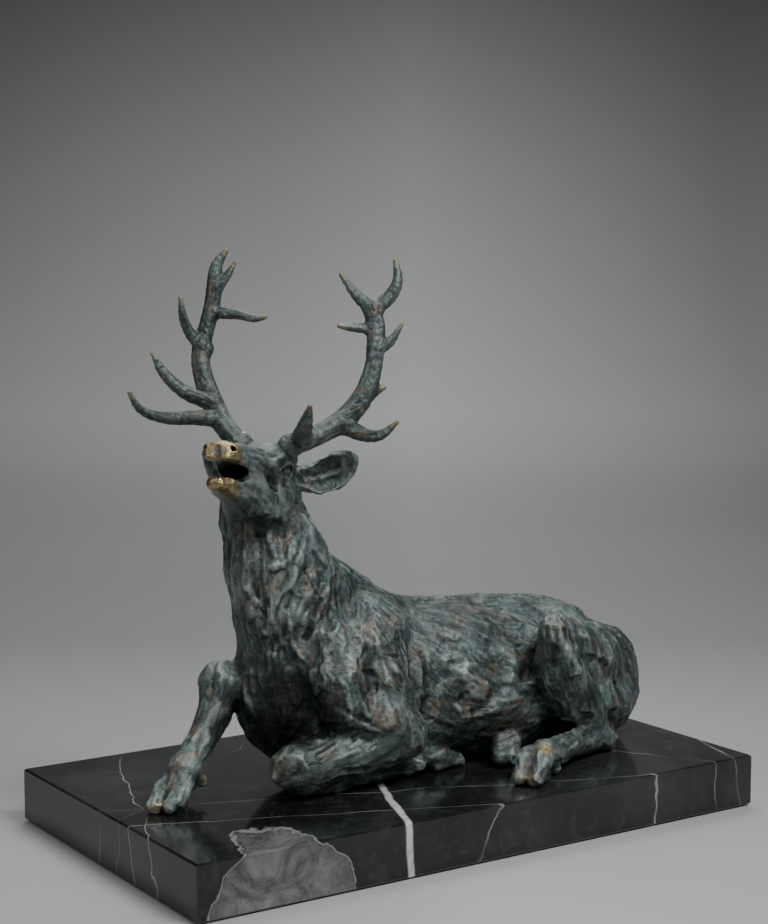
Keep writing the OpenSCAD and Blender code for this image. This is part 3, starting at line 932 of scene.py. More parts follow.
# %% A stroke
def stroke(skin, move, path, width, height, mode="sum", lean=0.0, flat=False):
    """Press one stroke into move, the distance each vertex will go along its normal."""
    path = np.asarray(path, float)
    width = np.interp(np.linspace(0, 1, len(path)), np.linspace(0, 1, np.size(width)), np.atleast_1d(width))
    height = np.interp(np.linspace(0, 1, len(path)), np.linspace(0, 1, np.size(height)), np.atleast_1d(height))
    far = width.max()
    index = skin.around(path.min(0) - far, path.max(0) + far)
    if not len(index):
        return
    p = skin.verts[index]
    best = np.full(len(index), 9.0)
    value = np.zeros(len(index))
    for k in range(len(path) - 1):
        a, along = path[k], path[k + 1] - path[k]
        length2 = max(float(along @ along), 1e-9)
        t = np.clip((p - a) @ along / length2, 0, 1)
        off = p - a - t[:, None] * along
        w = width[k] + t * (width[k + 1] - width[k])
        d = np.sqrt((off * off).sum(1)) / w
        closer = d < np.minimum(best, 1)
        if not closer.any():
            continue
        h = (height[k] + t * (height[k + 1] - height[k]))[closer]
        dc = d[closer]
        shape = ramp(1 - dc, 0, 0.3) if flat else (1 - dc * dc) ** 2
        if lean:
            n = skin.normals[index[closer]]
            side = np.cross(along / math.sqrt(length2), n)
            s = (off[closer] * side).sum(1) / w[closer]
            shape = shape * (1 + lean * s)
        best[closer] = dc
        value[closer] = h * shape
    hit = best < 1
    index, value = index[hit], value[hit]
    if mode == "sum":
        move[index] += value
    elif height.mean() > 0:
        move[index] = np.maximum(move[index], value)
    else:
        move[index] = np.minimum(move[index], value)


def drawn(skin, lines):
    """Placed strokes: (points, width, height), with the points dropped on to the skin."""
    move = np.zeros(len(skin.verts))
    for points, width, height, *flat in lines:
        line = np.array(smooth_line([tuple(p) for p in points], 3)) if len(points) > 2 else np.array(points, float)
        path = []
        for p in line:
            k = skin.nearest(p, 9.0)
            if k >= 0:
                path.append(skin.verts[k])
        if len(path) > 1:
            path = np.array(path)
            path += 0.9 * np.stack([lumps_of(path, 7, seed) for seed in (21, 22, 23)], 1)
            stroke(skin, move, path, width, height, flat=bool(flat))
    move *= 0.85 + 0.5 * lumps_of(skin.verts, 6, 9)
    skin.verts = skin.verts + move[:, None] * skin.normals
    return move


# %% [markdown]
# ### Loose strokes
# Each loose stroke starts at a random place and then walks over the skin the way the guides point, wandering a
# little. Its width, length and height are drawn from a range, because no two marks of a tool are the same.

# %% Loose strokes
PACE = 2.6  # length of one step of a stroke, in millimetres
DRIFT = 0.08  # how much its direction changes at each step, in radians
GUIDE_SPREAD = 60  # how softly one guide gives way to the next, in square millimetres


def coat(skin, guides, count, seed, width, length, height, keep, lean=0.5, wander=0.35):
    """Loose strokes that follow the guides. keep gives a chance from 0 to 1 for each place."""
    rng = np.random.default_rng(seed)
    at = np.array([g[0] for g in guides], float)
    way = np.array([g[1] for g in guides], float)
    way /= np.linalg.norm(way, axis=1)[:, None]
    move = np.zeros(len(skin.verts))
    chosen = rng.choice(len(skin.verts), size=count * 3)
    chosen = chosen[rng.random(len(chosen)) < keep(skin.verts[chosen])][:count]
    for start in chosen:
        p = skin.verts[start]
        w = rng.uniform(*width)
        total = rng.uniform(*length)
        h = rng.uniform(*height)
        turn = rng.normal(0, wander)
        steps = max(3, int(total / PACE))
        path = []
        n = skin.normals[start]
        for _ in range(steps):
            path.append(p)
            weight = 1 / (((at - p) ** 2).sum(1) + GUIDE_SPREAD) ** 2
            flow = (way * weight[:, None]).sum(0)
            side = np.cross(n, flow)
            flow = flow * math.cos(turn) + side * math.sin(turn)
            flow = flow - n * (flow @ n)
            size = np.linalg.norm(flow)
            if size < 1e-6:
                break
            q = p + flow / size * total / steps
            found = skin.nearest(q, 3.0)
            if found < 0:
                break
            n = skin.normals[found]
            p = q - n * ((q - skin.verts[found]) @ n)
            turn += rng.normal(0, DRIFT)
        if len(path) > 2:
            stroke(skin, move, path, (0.6 * w, w, w * 0.9, 0.35 * w), (0.3 * h, h, h, 0.15 * h), "max",
                   lean * rng.choice((-1, 1)))
    return move, len(chosen)


# %% [markdown]
# ### Combed texture
# Finer than any stroke is the grain that a toothed tool leaves. It is noise averaged along the lie of the coat,
# which draws it out into streaks.

# %% Combed texture
def lie_of(verts, normals, guides):
    """The direction in which the coat lies at each vertex, along the skin."""
    total = np.zeros_like(verts)
    for at, way in guides:
        way = np.array(way, float)
        weight = 1 / (((verts - at) ** 2).sum(1) + GUIDE_SPREAD) ** 2
        total += weight[:, None] * way / np.linalg.norm(way)
    total -= normals * (total * normals).sum(1)[:, None]
    return total / np.maximum(np.linalg.norm(total, axis=1), 1e-12)[:, None]


def combed(verts, lie, size, reach, seed):
    """Noise drawn out along the lie of the coat, as a toothed tool leaves it in wax."""
    taps = np.linspace(-reach, reach, 9)
    return sum(lumps_of(verts + t * lie, size, seed) for t in taps) / 9 * math.sqrt(1 + reach / size)


# %% [markdown]
# ### How the coat lies
# Each guide is a place and a direction. Between guides the direction is a weighted mean, so a few dozen of
# them are enough for the whole animal: down the throat, forwards and down over the mane, back along the
# flanks, and along the bones of the legs.

# %% Guides
GUIDES = [
    # neck, from the jaw to the breast
    ((-106, -10, 176), (0, 0, -1)), ((-104, -10, 150), (0.1, 0, -1)), ((-98, -10, 120), (0.1, 0, -1)),
    ((-94, -6, 96), (0.1, 0, -1)), ((-90, -24, 168), (-0.2, -0.1, -1)), ((-84, -28, 148), (-0.5, -0.1, -1)),
    ((-72, -27, 156), (-0.7, -0.2, -1)), ((-66, -28, 138), (-0.6, -0.2, -1)), ((-84, -26, 124), (-0.3, 0, -1)),
    ((-58, -28, 130), (-0.3, -0.2, -1)), ((-70, -32, 108), (0, -0.1, -1)), ((-80, -26, 92), (0.1, 0, -1)),
    ((-70, 10, 166), (0.2, 0.2, -1)), ((-58, 18, 140), (0.2, 0.3, -1)), ((-84, 22, 140), (0, 0.1, -1)),
    ((-78, 24, 110), (0, 0, -1)), ((-62, 0, 158), (0.5, 0, -1)), ((-44, 0, 146), (1, 0, -0.6)),
    # shoulder and arm
    ((-50, -46, 112), (-0.1, -0.2, -1)), ((-54, -52, 90), (0.1, 0, -1)), ((-32, -48, 100), (0.2, -0.1, -1)),
    ((-30, -54, 76), (0.2, 0, -1)), ((-46, -54, 62), (-1, 0.1, -0.2)), ((-70, -44, 52), (-1, 0.1, -0.2)),
    ((-50, 40, 100), (0.1, 0.2, -1)), ((-76, 26, 84), (-1, -0.4, 0.2)), ((-104, 10, 86), (-0.6, -0.4, -0.7)),
    ((-118, 0, 66), (-0.6, -0.45, -0.7)), ((-140, -12, 46), (-0.6, -0.4, -0.7)), ((-40, -32, 40), (1, 0.1, -0.1)),
    ((0, -28, 40), (1, 0, -0.1)),
    # back, flank and belly
    ((-20, 0, 134), (1, 0, -0.4)), ((20, 0, 122), (1, 0, -0.1)), ((70, 0, 116), (1, 0, -0.1)),
    ((110, 0, 110), (1, 0, -0.4)), ((150, 0, 84), (0.4, 0, -1)), ((8, -36, 96), (0.7, 0, -0.7)),
    ((30, -38, 88), (0.8, 0, -0.6)), ((24, -40, 64), (1, 0, -0.25)), ((54, -40, 86), (0.8, 0, -0.5)),
    ((56, -40, 58), (1, 0, 0.2)), ((20, -28, 112), (1, -0.2, -0.4)), ((60, -28, 108), (1, -0.2, -0.4)),
    ((8, 36, 90), (0.8, 0, -0.6)), ((50, 40, 80), (0.9, 0, -0.4)), ((30, 40, 56), (1, 0, 0.1)),
    # quarters, shins and shanks
    ((104, -30, 104), (0.5, -0.4, -1)), ((92, -54, 92), (0.25, 0, -1)), ((104, -56, 66), (0.25, 0.1, -1)),
    ((80, -54, 104), (-0.3, 0, -1)), ((124, -46, 76), (0.25, 0.2, -1)), ((142, -28, 72), (0.2, 0.3, -1)),
    ((126, -44, 50), (0.1, 0.3, -1)), ((90, -56, 42), (-1, -0.5, 0)), ((60, -68, 42), (-1, -0.5, 0)),
    ((104, 34, 100), (0.4, 0.5, -1)), ((90, 50, 70), (0.4, 0, -1)), ((130, 36, 70), (0.4, -0.2, -1)),
    ((162, -2, 66), (0.1, 0, -1)),
]
HEAD_GUIDES = [
    # in the head's own frame
    ((50, 0, -3), (-1, 0, 0)), ((30, 8, -8), (-1, 0.1, -0.1)), ((14, 10, -4), (-1, 0.2, 0.1)),
    ((24, 9, -20), (-1, 0, -0.4)), ((4, 12, -26), (-0.7, 0, -1)), ((30, 5, -30), (-1, 0, -0.3)),
    ((-10, 12, -24), (-1, 0, -0.6)),
]
for spot, way in HEAD_GUIDES:
    for side in (1, -1):
        place = head_place[side]
        GUIDES.append((tuple(place.point(spot)), tuple(place.axes @ (np.array(way, float) * (1, side, 1)))))
print("guides", len(GUIDES))

# %% [markdown]
# ### Modelling
# First come the strokes that belong to one place: the worn flat over the ribs, the groove behind the point
# of the shoulder, the windpipe. Then the skin is pared into small planes, and last the loose strokes and the
# combed texture go over everything. They are real relief, because a bump alone would leave the outline smooth.

# %% Modelling the figure
skin = Skin(verts, quads)
clock = time.time()
DRAWN = [
    # flank: the worn flat over the ribs and the shallow modelling round it
    ([(14, -38, 90), (20, -38, 89)], 10, 1.3, "flat"),
    ([(24, -39, 84), (30, -39, 77)], 9, 1.4, "flat"),
    ([(8, -38, 80), (18, -38, 71), (30, -38, 67)], 4, -1.3),
    ([(36, -38, 70), (46, -39, 76), (50, -40, 88)], 5, -1.3),
    ([(14, -38, 66), (26, -38, 62), (40, -38, 64)], 6, 1.1),
    ([(50, -39, 100), (55, -40, 88), (52, -40, 78)], 8, 1.4),
    ([(62, -38, 104), (66, -38, 92), (64, -38, 80)], 7, -1.4),
    ([(-11, -38, 92), (-10, -41, 78), (-13, -44, 66)], 5, 1.5),
    ([(-5, -36, 98), (-4, -40, 82), (-7, -42, 66)], 3, -1.6),
    ([(2, -36, 90), (3, -40, 76), (-1, -42, 62)], 4, 1),
    ([(24, -38, 66), (26, -38, 65)], 2, -1.4),
    # shoulder: groove between the point of the shoulder and the muscle behind it, cracks, elbow
    ([(-46, -42, 120), (-47, -49, 108), (-48, -54, 92), (-50, -56, 78)], (2, 4, 5, 3), (-0.8, -2.2, -2.4, -1)),
    ([(-57, -44, 113), (-58, -48, 103), (-56, -51, 92)], 6, 1.2),
    ([(-34, -46, 103), (-27, -46, 101), (-24, -44, 95)], 1.2, -0.9),
    ([(-36, -50, 90), (-32, -52, 84)], 1.1, -0.9),
    ([(-22, -46, 112), (-19, -46, 98), (-20, -50, 84)], 2.4, -1),
    ([(-60, -48, 77), (-52, -54, 71), (-44, -57, 66)], 2.2, -1.3),
    ([(-66, -47, 46), (-44, -51, 44), (-22, -52, 43)], 3, -1.6),
    ([(-40, -56, 76), (-42, -57, 70)], 4, 1),
    # thigh, knee and shin
    ([(79, -52, 110), (83, -55, 102), (84, -59, 94)], 3, -1.4),
    ([(74, -53, 108), (76, -57, 100), (80, -60, 91)], 3.4, 1),
    ([(92, -56, 104), (94, -61, 88), (98, -60, 70), (103, -57, 54)], (3, 5, 5, 4), (-1, -2.6, -2.8, -1.4)),
    ([(108, -50, 84), (118, -49, 76), (122, -47, 70)], 4, -1.2),
    ([(112, -48, 96), (124, -42, 88), (132, -36, 78)], 5, 1),
    ([(86, -34, 112), (98, -30, 112), (108, -26, 108)], 4, -1.4),
    # throat: windpipe, its groove, and the roll of skin behind the jaw
    ([(-107, -14, 172), (-105, -14, 156), (-101, -11, 132), (-98, -8, 112)], (4, 5, 5, 4), (1.2, 2, 2, 0.8)),
    ([(-101, -22, 174), (-101, -21, 156), (-98, -18, 134), (-94, -15, 114)], (4, 5, 4, 3), (-1.6, -2.6, -2, -0.8)),
    ([(-105, 4, 160), (-104, 4, 150), (-104, 3, 140)], 9, -2),
    ([(-93, -27, 153), (-86, -28, 157), (-80, -26, 164)], 3.4, 1.1),
    ([(-95, -28, 149), (-86, -30, 152), (-77, -28, 160)], 3, -0.9),
    ([(-80, -27, 148), (-88, -24, 134), (-92, -18, 118)], 5, 1.4),
    ([(-70, -28, 146), (-80, -28, 130), (-87, -22, 112)], 5, 1.6),
    ([(-75, -29, 142), (-84, -26, 126), (-90, -20, 108)], 3, -1.5),
    ([(-60, -29, 140), (-70, -33, 122), (-78, -30, 104)], 5, 1.6),
    ([(-65, -31, 134), (-74, -31, 118), (-82, -26, 100)], 3, -1.6),
    ([(-96, -2, 104), (-96, -2, 90), (-92, -4, 74)], 5, 1.2),
]
drawn(skin, DRAWN)
skin.refresh()
print("placed strokes", len(DRAWN))


# %% [markdown]
# ### Pared planes
# A modeller cuts wax with a knife as often as they add to it, and that leaves many small planes. Each vertex
# moves part of the way on to the plane of the nearest of about a thousand random places.

# %% Pared planes
def pared(skin, count, seed, most=0.8):
    """Flatten the skin towards many small planes, as a knife or a slat leaves the wax."""
    rng = np.random.default_rng(seed)
    seeds = rng.choice(len(skin.verts), size=count, replace=False)
    tree = KDTree(count)
    for k, index in enumerate(seeds):
        tree.insert(skin.verts[index] + 4 * skin.normals[index], k)
    tree.balance()
    wobble = 1.6 * np.stack([lumps_of(skin.verts, 6, seed + k) for k in (1, 2, 3)], 1)
    reach = skin.verts + 4 * skin.normals + wobble
    nearest = seeds[np.array([tree.find(p)[1] for p in reach.tolist()])]
    off = ((skin.verts - skin.verts[nearest]) * skin.normals[nearest]).sum(1)
    depth = rng.uniform(0.05, 0.8, len(skin.verts))[nearest]
    head = centred.axes.T @ (skin.verts - centred.origin).T
    depth *= np.where((head[0] > -6) & (head[2] > -40), 0.3, 1.0)
    move = np.clip(-off * depth, -most, most)[:, None] * skin.normals
    edges = edges_of(skin.quads)
    degree = np.bincount(edges.ravel(), minlength=len(skin.verts))
    skin.verts = skin.verts + relaxed(move, edges, 2, degree)
    skin.refresh()


planes = 1100
pared(skin, planes, 51)
print("pared planes", planes)


# %% [markdown]
# ### Coat and mane
# Broad strokes, locks of the mane, fine marks and grooves are laid separately, then joined with the combed
# texture. The shanks and the muzzle get few of them, because skin is tight over bone there.

# %% Coat and mane
def legs_and_face_spared(p):
    """Fewer strokes on shanks and muzzle, where the skin is tight over bone."""
    head = head_place[1]
    local = (p - head.origin) @ head.axes
    chance = np.where(local[:, 0] > 36, 0.1, 1.0) * np.where((local[:, 2] > -40) & (local[:, 0] > 0), 0.5, 1.0)
    return chance * np.where((p[:, 2] < 52) & (p[:, 1] < -28), 0.35, 1.0) * np.where(p[:, 0] < -112, 0.3, 1.0)


def mane(p):
    """The long hair of the neck, breast and shoulder."""
    return ramp(-p[:, 0], 30, 56) * ramp(p[:, 2], 50, 84) * (p[:, 0] > -112) * ramp(-p[:, 2], -206, -190)


scale = 1.0
broad, n1 = coat(skin, GUIDES, int(1100 * scale), 1, (4, 9), (10, 26), (0.15, 0.5), legs_and_face_spared)
locks, n2 = coat(skin, GUIDES, int(420 * scale), 2, (2.6, 5.4), (14, 30), (0.5, 1.3), mane)
fine, n3 = coat(skin, GUIDES, int(1500 * scale), 3, (1.6, 2.6), (5, 14), (0.08, 0.2), legs_and_face_spared)
grooves, n4 = coat(skin, GUIDES, int(520 * scale), 4, (1.4, 2.6), (5, 16), (-0.7, -0.25), legs_and_face_spared,
                   lean=0)
rough = 0.4 * lumps_of(skin.verts, 10, 1) + 0.25 * lumps_of(skin.verts, 5, 2) + 0.13 * lumps_of(skin.verts, 2.4, 3)
lie = lie_of(skin.verts, skin.normals, GUIDES)
swell = combed(skin.verts, lie, 5, 9, 31)
hair = combed(skin.verts, lie, 2.4, 6, 32)
nick = combed(skin.verts, lie, 2.2, 4, 33)
tight = 1 - 0.65 * (1 - legs_and_face_spared(skin.verts))
rough += tight * (0.22 * swell + 0.16 * hair - 0.36 * ramp(0.15 - np.abs(nick), 0, 0.15) * ramp(swell, -0.3, 0.4))
move = np.maximum(broad, locks) + fine + grooves + rough - 0.5
skin.verts = skin.verts + move[:, None] * skin.normals
skin.verts[:, 2] = np.maximum(skin.verts[:, 2], marble_top)
skin.normals = normals_of(skin.verts, skin.quads)
verts = skin.verts
print("strokes", n1, n2, n3, n4, round(time.time() - clock, 1), "s")

# %% [markdown]
# ## Antlers
# Each antler is a beam with its tines, cast apart and pinned to the skull. Only a few numbers describe one:
# stations that run outwards, backwards and upwards from the burr, each with a radius. They become the same
# kind of clay as the body, in a finer grid, because a tine is only two or three millimetres thick at its tip.

# %% Antlers
LEFT_BEAM = [
    # outwards, backwards, upwards, radius
    (0, 0, 0, 5.6), (12, 9, 6, 5.6), (23, 18, 13, 6), (32, 24, 24, 5.6), (37, 28, 38, 5),
    (38, 31, 52, 4.6), (37, 34, 63, 5), (35, 36, 72, 4.6),
]
LEFT_TINES = [
    [(7, 3, 5, 5), (12, -12, 8, 4.8), (20, -28, 14, 3.9), (26, -37, 25, 1.2)],
    [(22, 18, 12, 5), (36, 15, 7, 4.2), (47, 12, 7, 3), (57, 10, 14, 1.2)],
    [(36, 27, 28, 3.4), (43, 30, 31, 1.4)],
    [(38, 31, 52, 3.6), (44, 37, 55, 2.8), (49, 42, 64, 1.2)],
    [(36, 34, 62, 3), (27, 26, 63, 2.2), (21, 21, 64, 1.3)],
    [(35, 36, 72, 4), (26, 34, 80, 3), (18, 32, 91, 1.2)],
    [(35, 36, 72, 4.4), (43, 40, 79, 3.6), (47, 42, 88, 2.6), (45, 44, 98, 1.2)],
]
RIGHT_BEAM = [
    (0, 0, 0, 5.6), (13, 9, 10, 5.8), (23, 18, 20, 6), (30, 24, 30, 5.6), (34, 27, 42, 5.2), (35, 31, 53, 5),
    (33, 33, 63, 4.6), (31, 36, 75, 4.4), (30, 37, 87, 4), (29, 38, 96, 3), (24, 40, 104, 1.3),
]
RIGHT_TINES = [
    [(16, 8, 14, 5), (25, -8, 15, 3.8), (34, -28, 17, 3), (39, -41, 22, 2.2), (42, -47, 31, 1.2)],
    [(22, 14, 22, 5), (35, 6, 28, 3.8), (44, 0, 38, 2.8), (49, -4, 49, 1.2)],
    [(32, 30, 50, 4.2), (38, 24, 58, 3.2), (41, 20, 67, 2.4), (42, 18, 78, 1.2)],
    [(29, 35, 70, 3.6), (15, 34, 69, 2.6), (5, 32, 67, 2), (-2, 32, 68, 1.2)],
    [(28, 37, 84, 3), (23, 40, 91, 2.2), (20, 42, 97, 1.2)],
]
BURR_SPREAD = 14


def antler_skin(region, side, beam, tines):
    """Forms and skin of one antler."""
    level = turned(0, 0, 180 + HEAD_TURN)
    head = head_place[1]
    place = Place(head.origin + level @ np.array([0, side * BURR_SPREAD, 0]), level, side)
    clay_forms = []
    for line in [[(-1, 3, -7, 4.6)] + beam] + tines:
        stations = [(-back, out, up, r) for out, back, up, r in line]
        limb(region, smooth_line(stations, 3), blend=2.4, place=place, into=clay_forms)
    limb(region, [(0, 0, 0, 6.1), (-1, 0, 1, 6.1)], blend=1.6, place=place, into=clay_forms)
    clay = Clay(clay_forms, 0.5)
    verts, quads, _ = clay.skin()
    guides = []
    for line in [beam] + tines:
        points = np.array([(-back, out * side, up) for out, back, up, _ in line], float)
        guides += [(place.origin + place.axes @ ((a + b) / 2), place.axes @ (b - a))
                   for a, b in zip(points, points[1:])]
    normals = normals_of(verts, quads)
    lie = lie_of(verts, normals, guides)
    furrow = combed(verts, lie, 2.4, 7, 41)
    height = 0.4 * combed(verts, lie, 5, 8, 42) + 0.16 * combed(verts, lie, 1.7, 5, 43)
    height -= 0.3 * ramp(0.16 - np.abs(furrow), 0, 0.16)
    return clay, place, (verts + height[:, None] * normals, quads), lie


antlers = {}
for region, side, beam, tines in (("left_antler", 1, LEFT_BEAM, LEFT_TINES),
                                  ("right_antler", -1, RIGHT_BEAM, RIGHT_TINES)):
    antlers[region] = antler_skin(region, side, beam, tines)
    print(region, len(antlers[region][2][0]), "vertices")

# %% [markdown]
# ## Finish of the bronze
# Each vertex carries a few numbers that the material reads: how far it stands proud of its surroundings, how
# deep it lies, where hands and cloths have rubbed the patina through to the metal, and where light and shade
# are painted on. Most of it comes from the shape itself, by comparing the skin with a smoothed copy of it, as
# real patina follows the shape; the painted light and painted shade are soft round spots.

# %% Wear
def relief_of(verts, normals, edges, degree, rounds):
    """How far each vertex stands out from a smoothed copy of the skin, in millimetres."""
    smooth = relaxed(verts, edges, rounds, degree)
    return ((verts - smooth) * normals).sum(1)


HEAD_AXES, HEAD_AT = head_place[1].axes, head_place[1].origin
TIPS = []
for region, side, lines in (("left", 1, LEFT_TINES + [LEFT_BEAM]), ("right", -1, RIGHT_TINES + [RIGHT_BEAM])):
    at_burr = antlers[region + "_antler"][1]
    for line in lines:
        out, back, up, r = line[-1]
        if r < 2:
            TIPS.append(at_burr.point((-back, out, up)))
RUBBED = [
    # place, radius and strength of each spot where the patina is rubbed through
    ((46, -78, 46), 6, 0.8), ((32, -84, 33), 6, 0.7), ((-158, -20, 32), 6, 0.5), ((-128, -6, 40), 5, 0.3),
    ((-92, -36, 50), 8, 0.12),
]
WARMED = [
    # where brown bronze shows through
    ((-41, -57, 71), 8, 1.0), ((76, -56, 106), 8, 0.6), ((-44, -46, 120), 12, 0.5), ((-105, -14, 150), 8, 0.8),
    ((-104, -12, 172), 8, 0.7), ((-102, -12, 130), 8, 0.6), ((24, -38, 66), 9, 0.5), ((-8, -38, 100), 7, 0.5),
    ((-54, -48, 100), 8, 0.5), ((60, -50, 46), 14, 0.5), ((52, -38, 52), 12, 0.5), ((-92, -34, 46), 10, 0.4),
    ((118, -48, 46), 8, 0.4),
]
PAINTED_LIGHT_SPOTS = [
    # painted light: pale spots that stand in for light falling on the ribs, flank, shoulder, knee, neck and head
    ((18, -39, 86), 9, 0.9), ((26, -39, 78), 9, 1.0), ((-57, -48, 104), 7, 0.7), ((80, -57, 99), 6, 0.8),
    ((-84, -27, 130), 9, 0.8), ((-76, -30, 112), 8, 0.7), ((-107, 0, 138), 16, 0.75), ((-34, -50, 100), 10, 0.4),
    ((-80, -28, 150), 6, 0.6), ((-97, -20, 142), 20, 0.7), ((-94, -21, 192), 12, 0.55), ((-96, -21, 206), 16, 0.45),
    ((60, -38, 96), 10, 0.3), ((-60, -44, 52), 9, 0.4), ((-70, -30, 206), 18, 0.4),
]
SHADED = [
    # painted shade: black spots where the figure lies in shadow, between the forelegs, under the jaw and belly,
    # inside the thigh, and on the outstretched foreleg
    ((-84, -22, 84), 20, 0.95), ((-72, -40, 74), 14, 0.9), ((-88, -16, 64), 20, 1.0), ((94, -52, 66), 12, 0.9),
    ((84, -44, 58), 12, 0.8), ((26, -34, 46), 20, 0.5), ((56, -40, 50), 12, 0.5), ((-96, -18, 178), 9, 0.6),
    ((-50, -53, 90), 6, 0.7), ((-106, 6, 78), 15, 0.75), ((-80, -30, 66), 14, 1.0), ((-92, -10, 96), 12, 0.5),
    ((-14, -42, 56), 8, 0.6), ((-116, 2, 66), 16, 0.7), ((-74, -40, 52), 12, 0.3),
]
# the pale spots are painted light and the black ones painted shade
print("spots", len(RUBBED), "rubbed,", len(WARMED), "warm,", len(PAINTED_LIGHT_SPOTS), "pale,", len(SHADED), "black")


# %% [markdown]
# ### Reading wear from the shape, with painted light and shade
# A fine comparison with the smoothed skin finds ridges and furrows, a broad one finds muscles and folds. The
# spots above, of wear, painted light and painted shade, are then added to what the shape itself says, and the
# inside of the mouth is painted near black as shade.

# %% Wear from the shape
def spots(verts, places):
    """The strongest of some soft round spots."""
    out = np.zeros(len(verts))
    for place, radius, strength in places:
        d = np.linalg.norm(verts - np.array(place, float), axis=1) / radius
        out = np.maximum(out, strength * ramp(1.3 - d, 0, 0.9))
    return out


def wear_of(verts, quads, lie, step, wear_and_painted_light=1.0):
    """The attributes that the patina reads."""
    edges = edges_of(quads)
    degree = np.bincount(edges.ravel(), minlength=len(verts))
    normals = normals_of(verts, quads)
    scale = FINE_STEP / step
    fine = relief_of(verts, normals, edges, degree, max(2, int(6 * scale ** 2)))
    broad = relief_of(verts, normals, edges, degree, max(4, int(50 * scale ** 2)))
    local = (verts - HEAD_AT) @ HEAD_AXES
    muzzle = ramp(local[:, 0], 44, 54) * ramp(local[:, 2], -33, -27) * ramp(5 - np.abs(local[:, 1]) / 2, -1, 1)
    inside = ramp(-np.abs(local[:, 2] + 17.2) + 3.2, 0, 1.4) * ramp(58 - local[:, 0], 0, 6)
    rub = np.maximum(spots(verts, RUBBED), muzzle * (1 - inside) * 0.95)
    rub = np.maximum(rub, spots(verts, [(tip, 4, 0.35) for tip in TIPS]))
    # painted shade: the inside of the open mouth is painted near black
    gape = np.linalg.norm((local - (56, 0, -16.9)) / (21.5, 13, 4.2), axis=1)
    mouth = ramp(1.06 - gape, 0, 0.2) * ramp(62 - local[:, 0], 0, 3)
    patchy = 0.55 + 0.45 * lumps_of(verts, 5, 5)
    recess = np.clip(ramp(-fine, 0.04, 0.4) * 0.55 + ramp(-broad, 0.2, 1.8) * 0.6, 0, 1)
    raised = np.clip(ramp(fine, 0.0, 0.3) * 0.5 + ramp(broad, 0.1, 1.2) * 0.5, 0, 1)
    # painted light: the pale spots, a little patchy, kept out of the hollows
    pale = spots(verts, PAINTED_LIGHT_SPOTS) * (0.75 + 0.25 * patchy)
    # painted shade: the black spots and the inside of the mouth
    dark = np.maximum(spots(verts, SHADED) * (1 - 0.2 * raised), mouth * 0.95)
    # the attribute of the hollows also carries the painted shade
    return {"raised": wear_and_painted_light * raised * (0.6 + 0.4 * patchy) * (1 - 0.5 * dark), "pale": pale * (1 - recess),
            "recess": np.maximum(recess, dark), "warm": spots(verts, WARMED) * patchy,
            "rub": rub * ramp(raised + 0.55 * patchy + 0.25, 0.3, 0.9),
            "grain": 0.5 + 0.5 * combed(verts, lie, 1.7, 5, 61), "streak": 0.5 + 0.5 * combed(verts, lie, 5, 6, 62)}


# %% [markdown]
# ### From skin to castings
# The one skin is cut back into the castings that the frame names, each with its own closed mesh. They share
# their normals along the cuts, as chased seams do on a bronze, so light runs over a join without a break.

# %% Objects
node_pieces = {}
normals = normals_of(verts, quads)
wear = wear_of(verts, quads, lie_of(verts, normals, GUIDES), figure.step)
for k, name in enumerate(NAMES):
    node_pieces[name] = closed_piece(name + "_bronze", verts, quads[face_of == k], normals, wear)
for name, (clay, place, (v, q), lie) in antlers.items():
    node_pieces[name] = add_object(name + "_bronze", v, q, (), wear_of(v, q, lie, clay.step, 0.3))
print("pieces", {n: len(o.data.polygons) for n, o in node_pieces.items()}, round(time.time() - clock, 1), "s")

# %% [markdown]
# ## Node trees
# The pearls of the burr and every finish are node trees. One small function adds a node with its settings and
# its links, and gives back the output that the next node will read, so a tree can be read from its base to its
# top in Blender's own names. Colours are given as sRGB hex and made linear in one place.

# %% Node helper
def hexed(code):
    """sRGB hex to linear RGBA."""
    parts = [int(code[i:i + 2], 16) / 255 for i in (1, 3, 5)]
    return [p / 12.92 if p <= 0.04045 else ((p + 0.055) / 1.055) ** 2.4 for p in parts] + [1.0]


def add(tree, kind, inputs=None, out=0, stops=(), **settings):
    """Add a node. Inputs are values, hex codes or (node, output) pairs, and its own such pair comes back."""
    node = tree.nodes.new(kind)
    for key, value in settings.items():
        setattr(node, key, value)
    for key, value in (inputs or {}).items():
        socket = node.inputs[key]
        if isinstance(value, tuple) and isinstance(value[0], bpy.types.Node):
            tree.links.new(value[0].outputs[value[1]], socket)
        else:
            socket.default_value = hexed(value) if isinstance(value, str) else value
    if stops:
        elements = node.color_ramp.elements
        while len(elements) < len(stops):
            elements.new(0.5)
        for element, (position, value) in zip(elements, stops):
            element.position = position
            element.color = hexed(value) if isinstance(value, str) else (value, value, value, 1)
    return node, out


print("mid grey is", round(hexed("#808080")[0], 3), "in linear light")

# %% [markdown]
# ### Pearls on the burr
# Where an antler grows from the skull it has a ring of small knobs, the burr. A sculptor rolls them as little
# balls of wax and presses them on. They repeat round a circle, so Geometry Nodes make them: a circle of
# points, a ball on each point with a random size, and named inputs for the count, radius and seed.

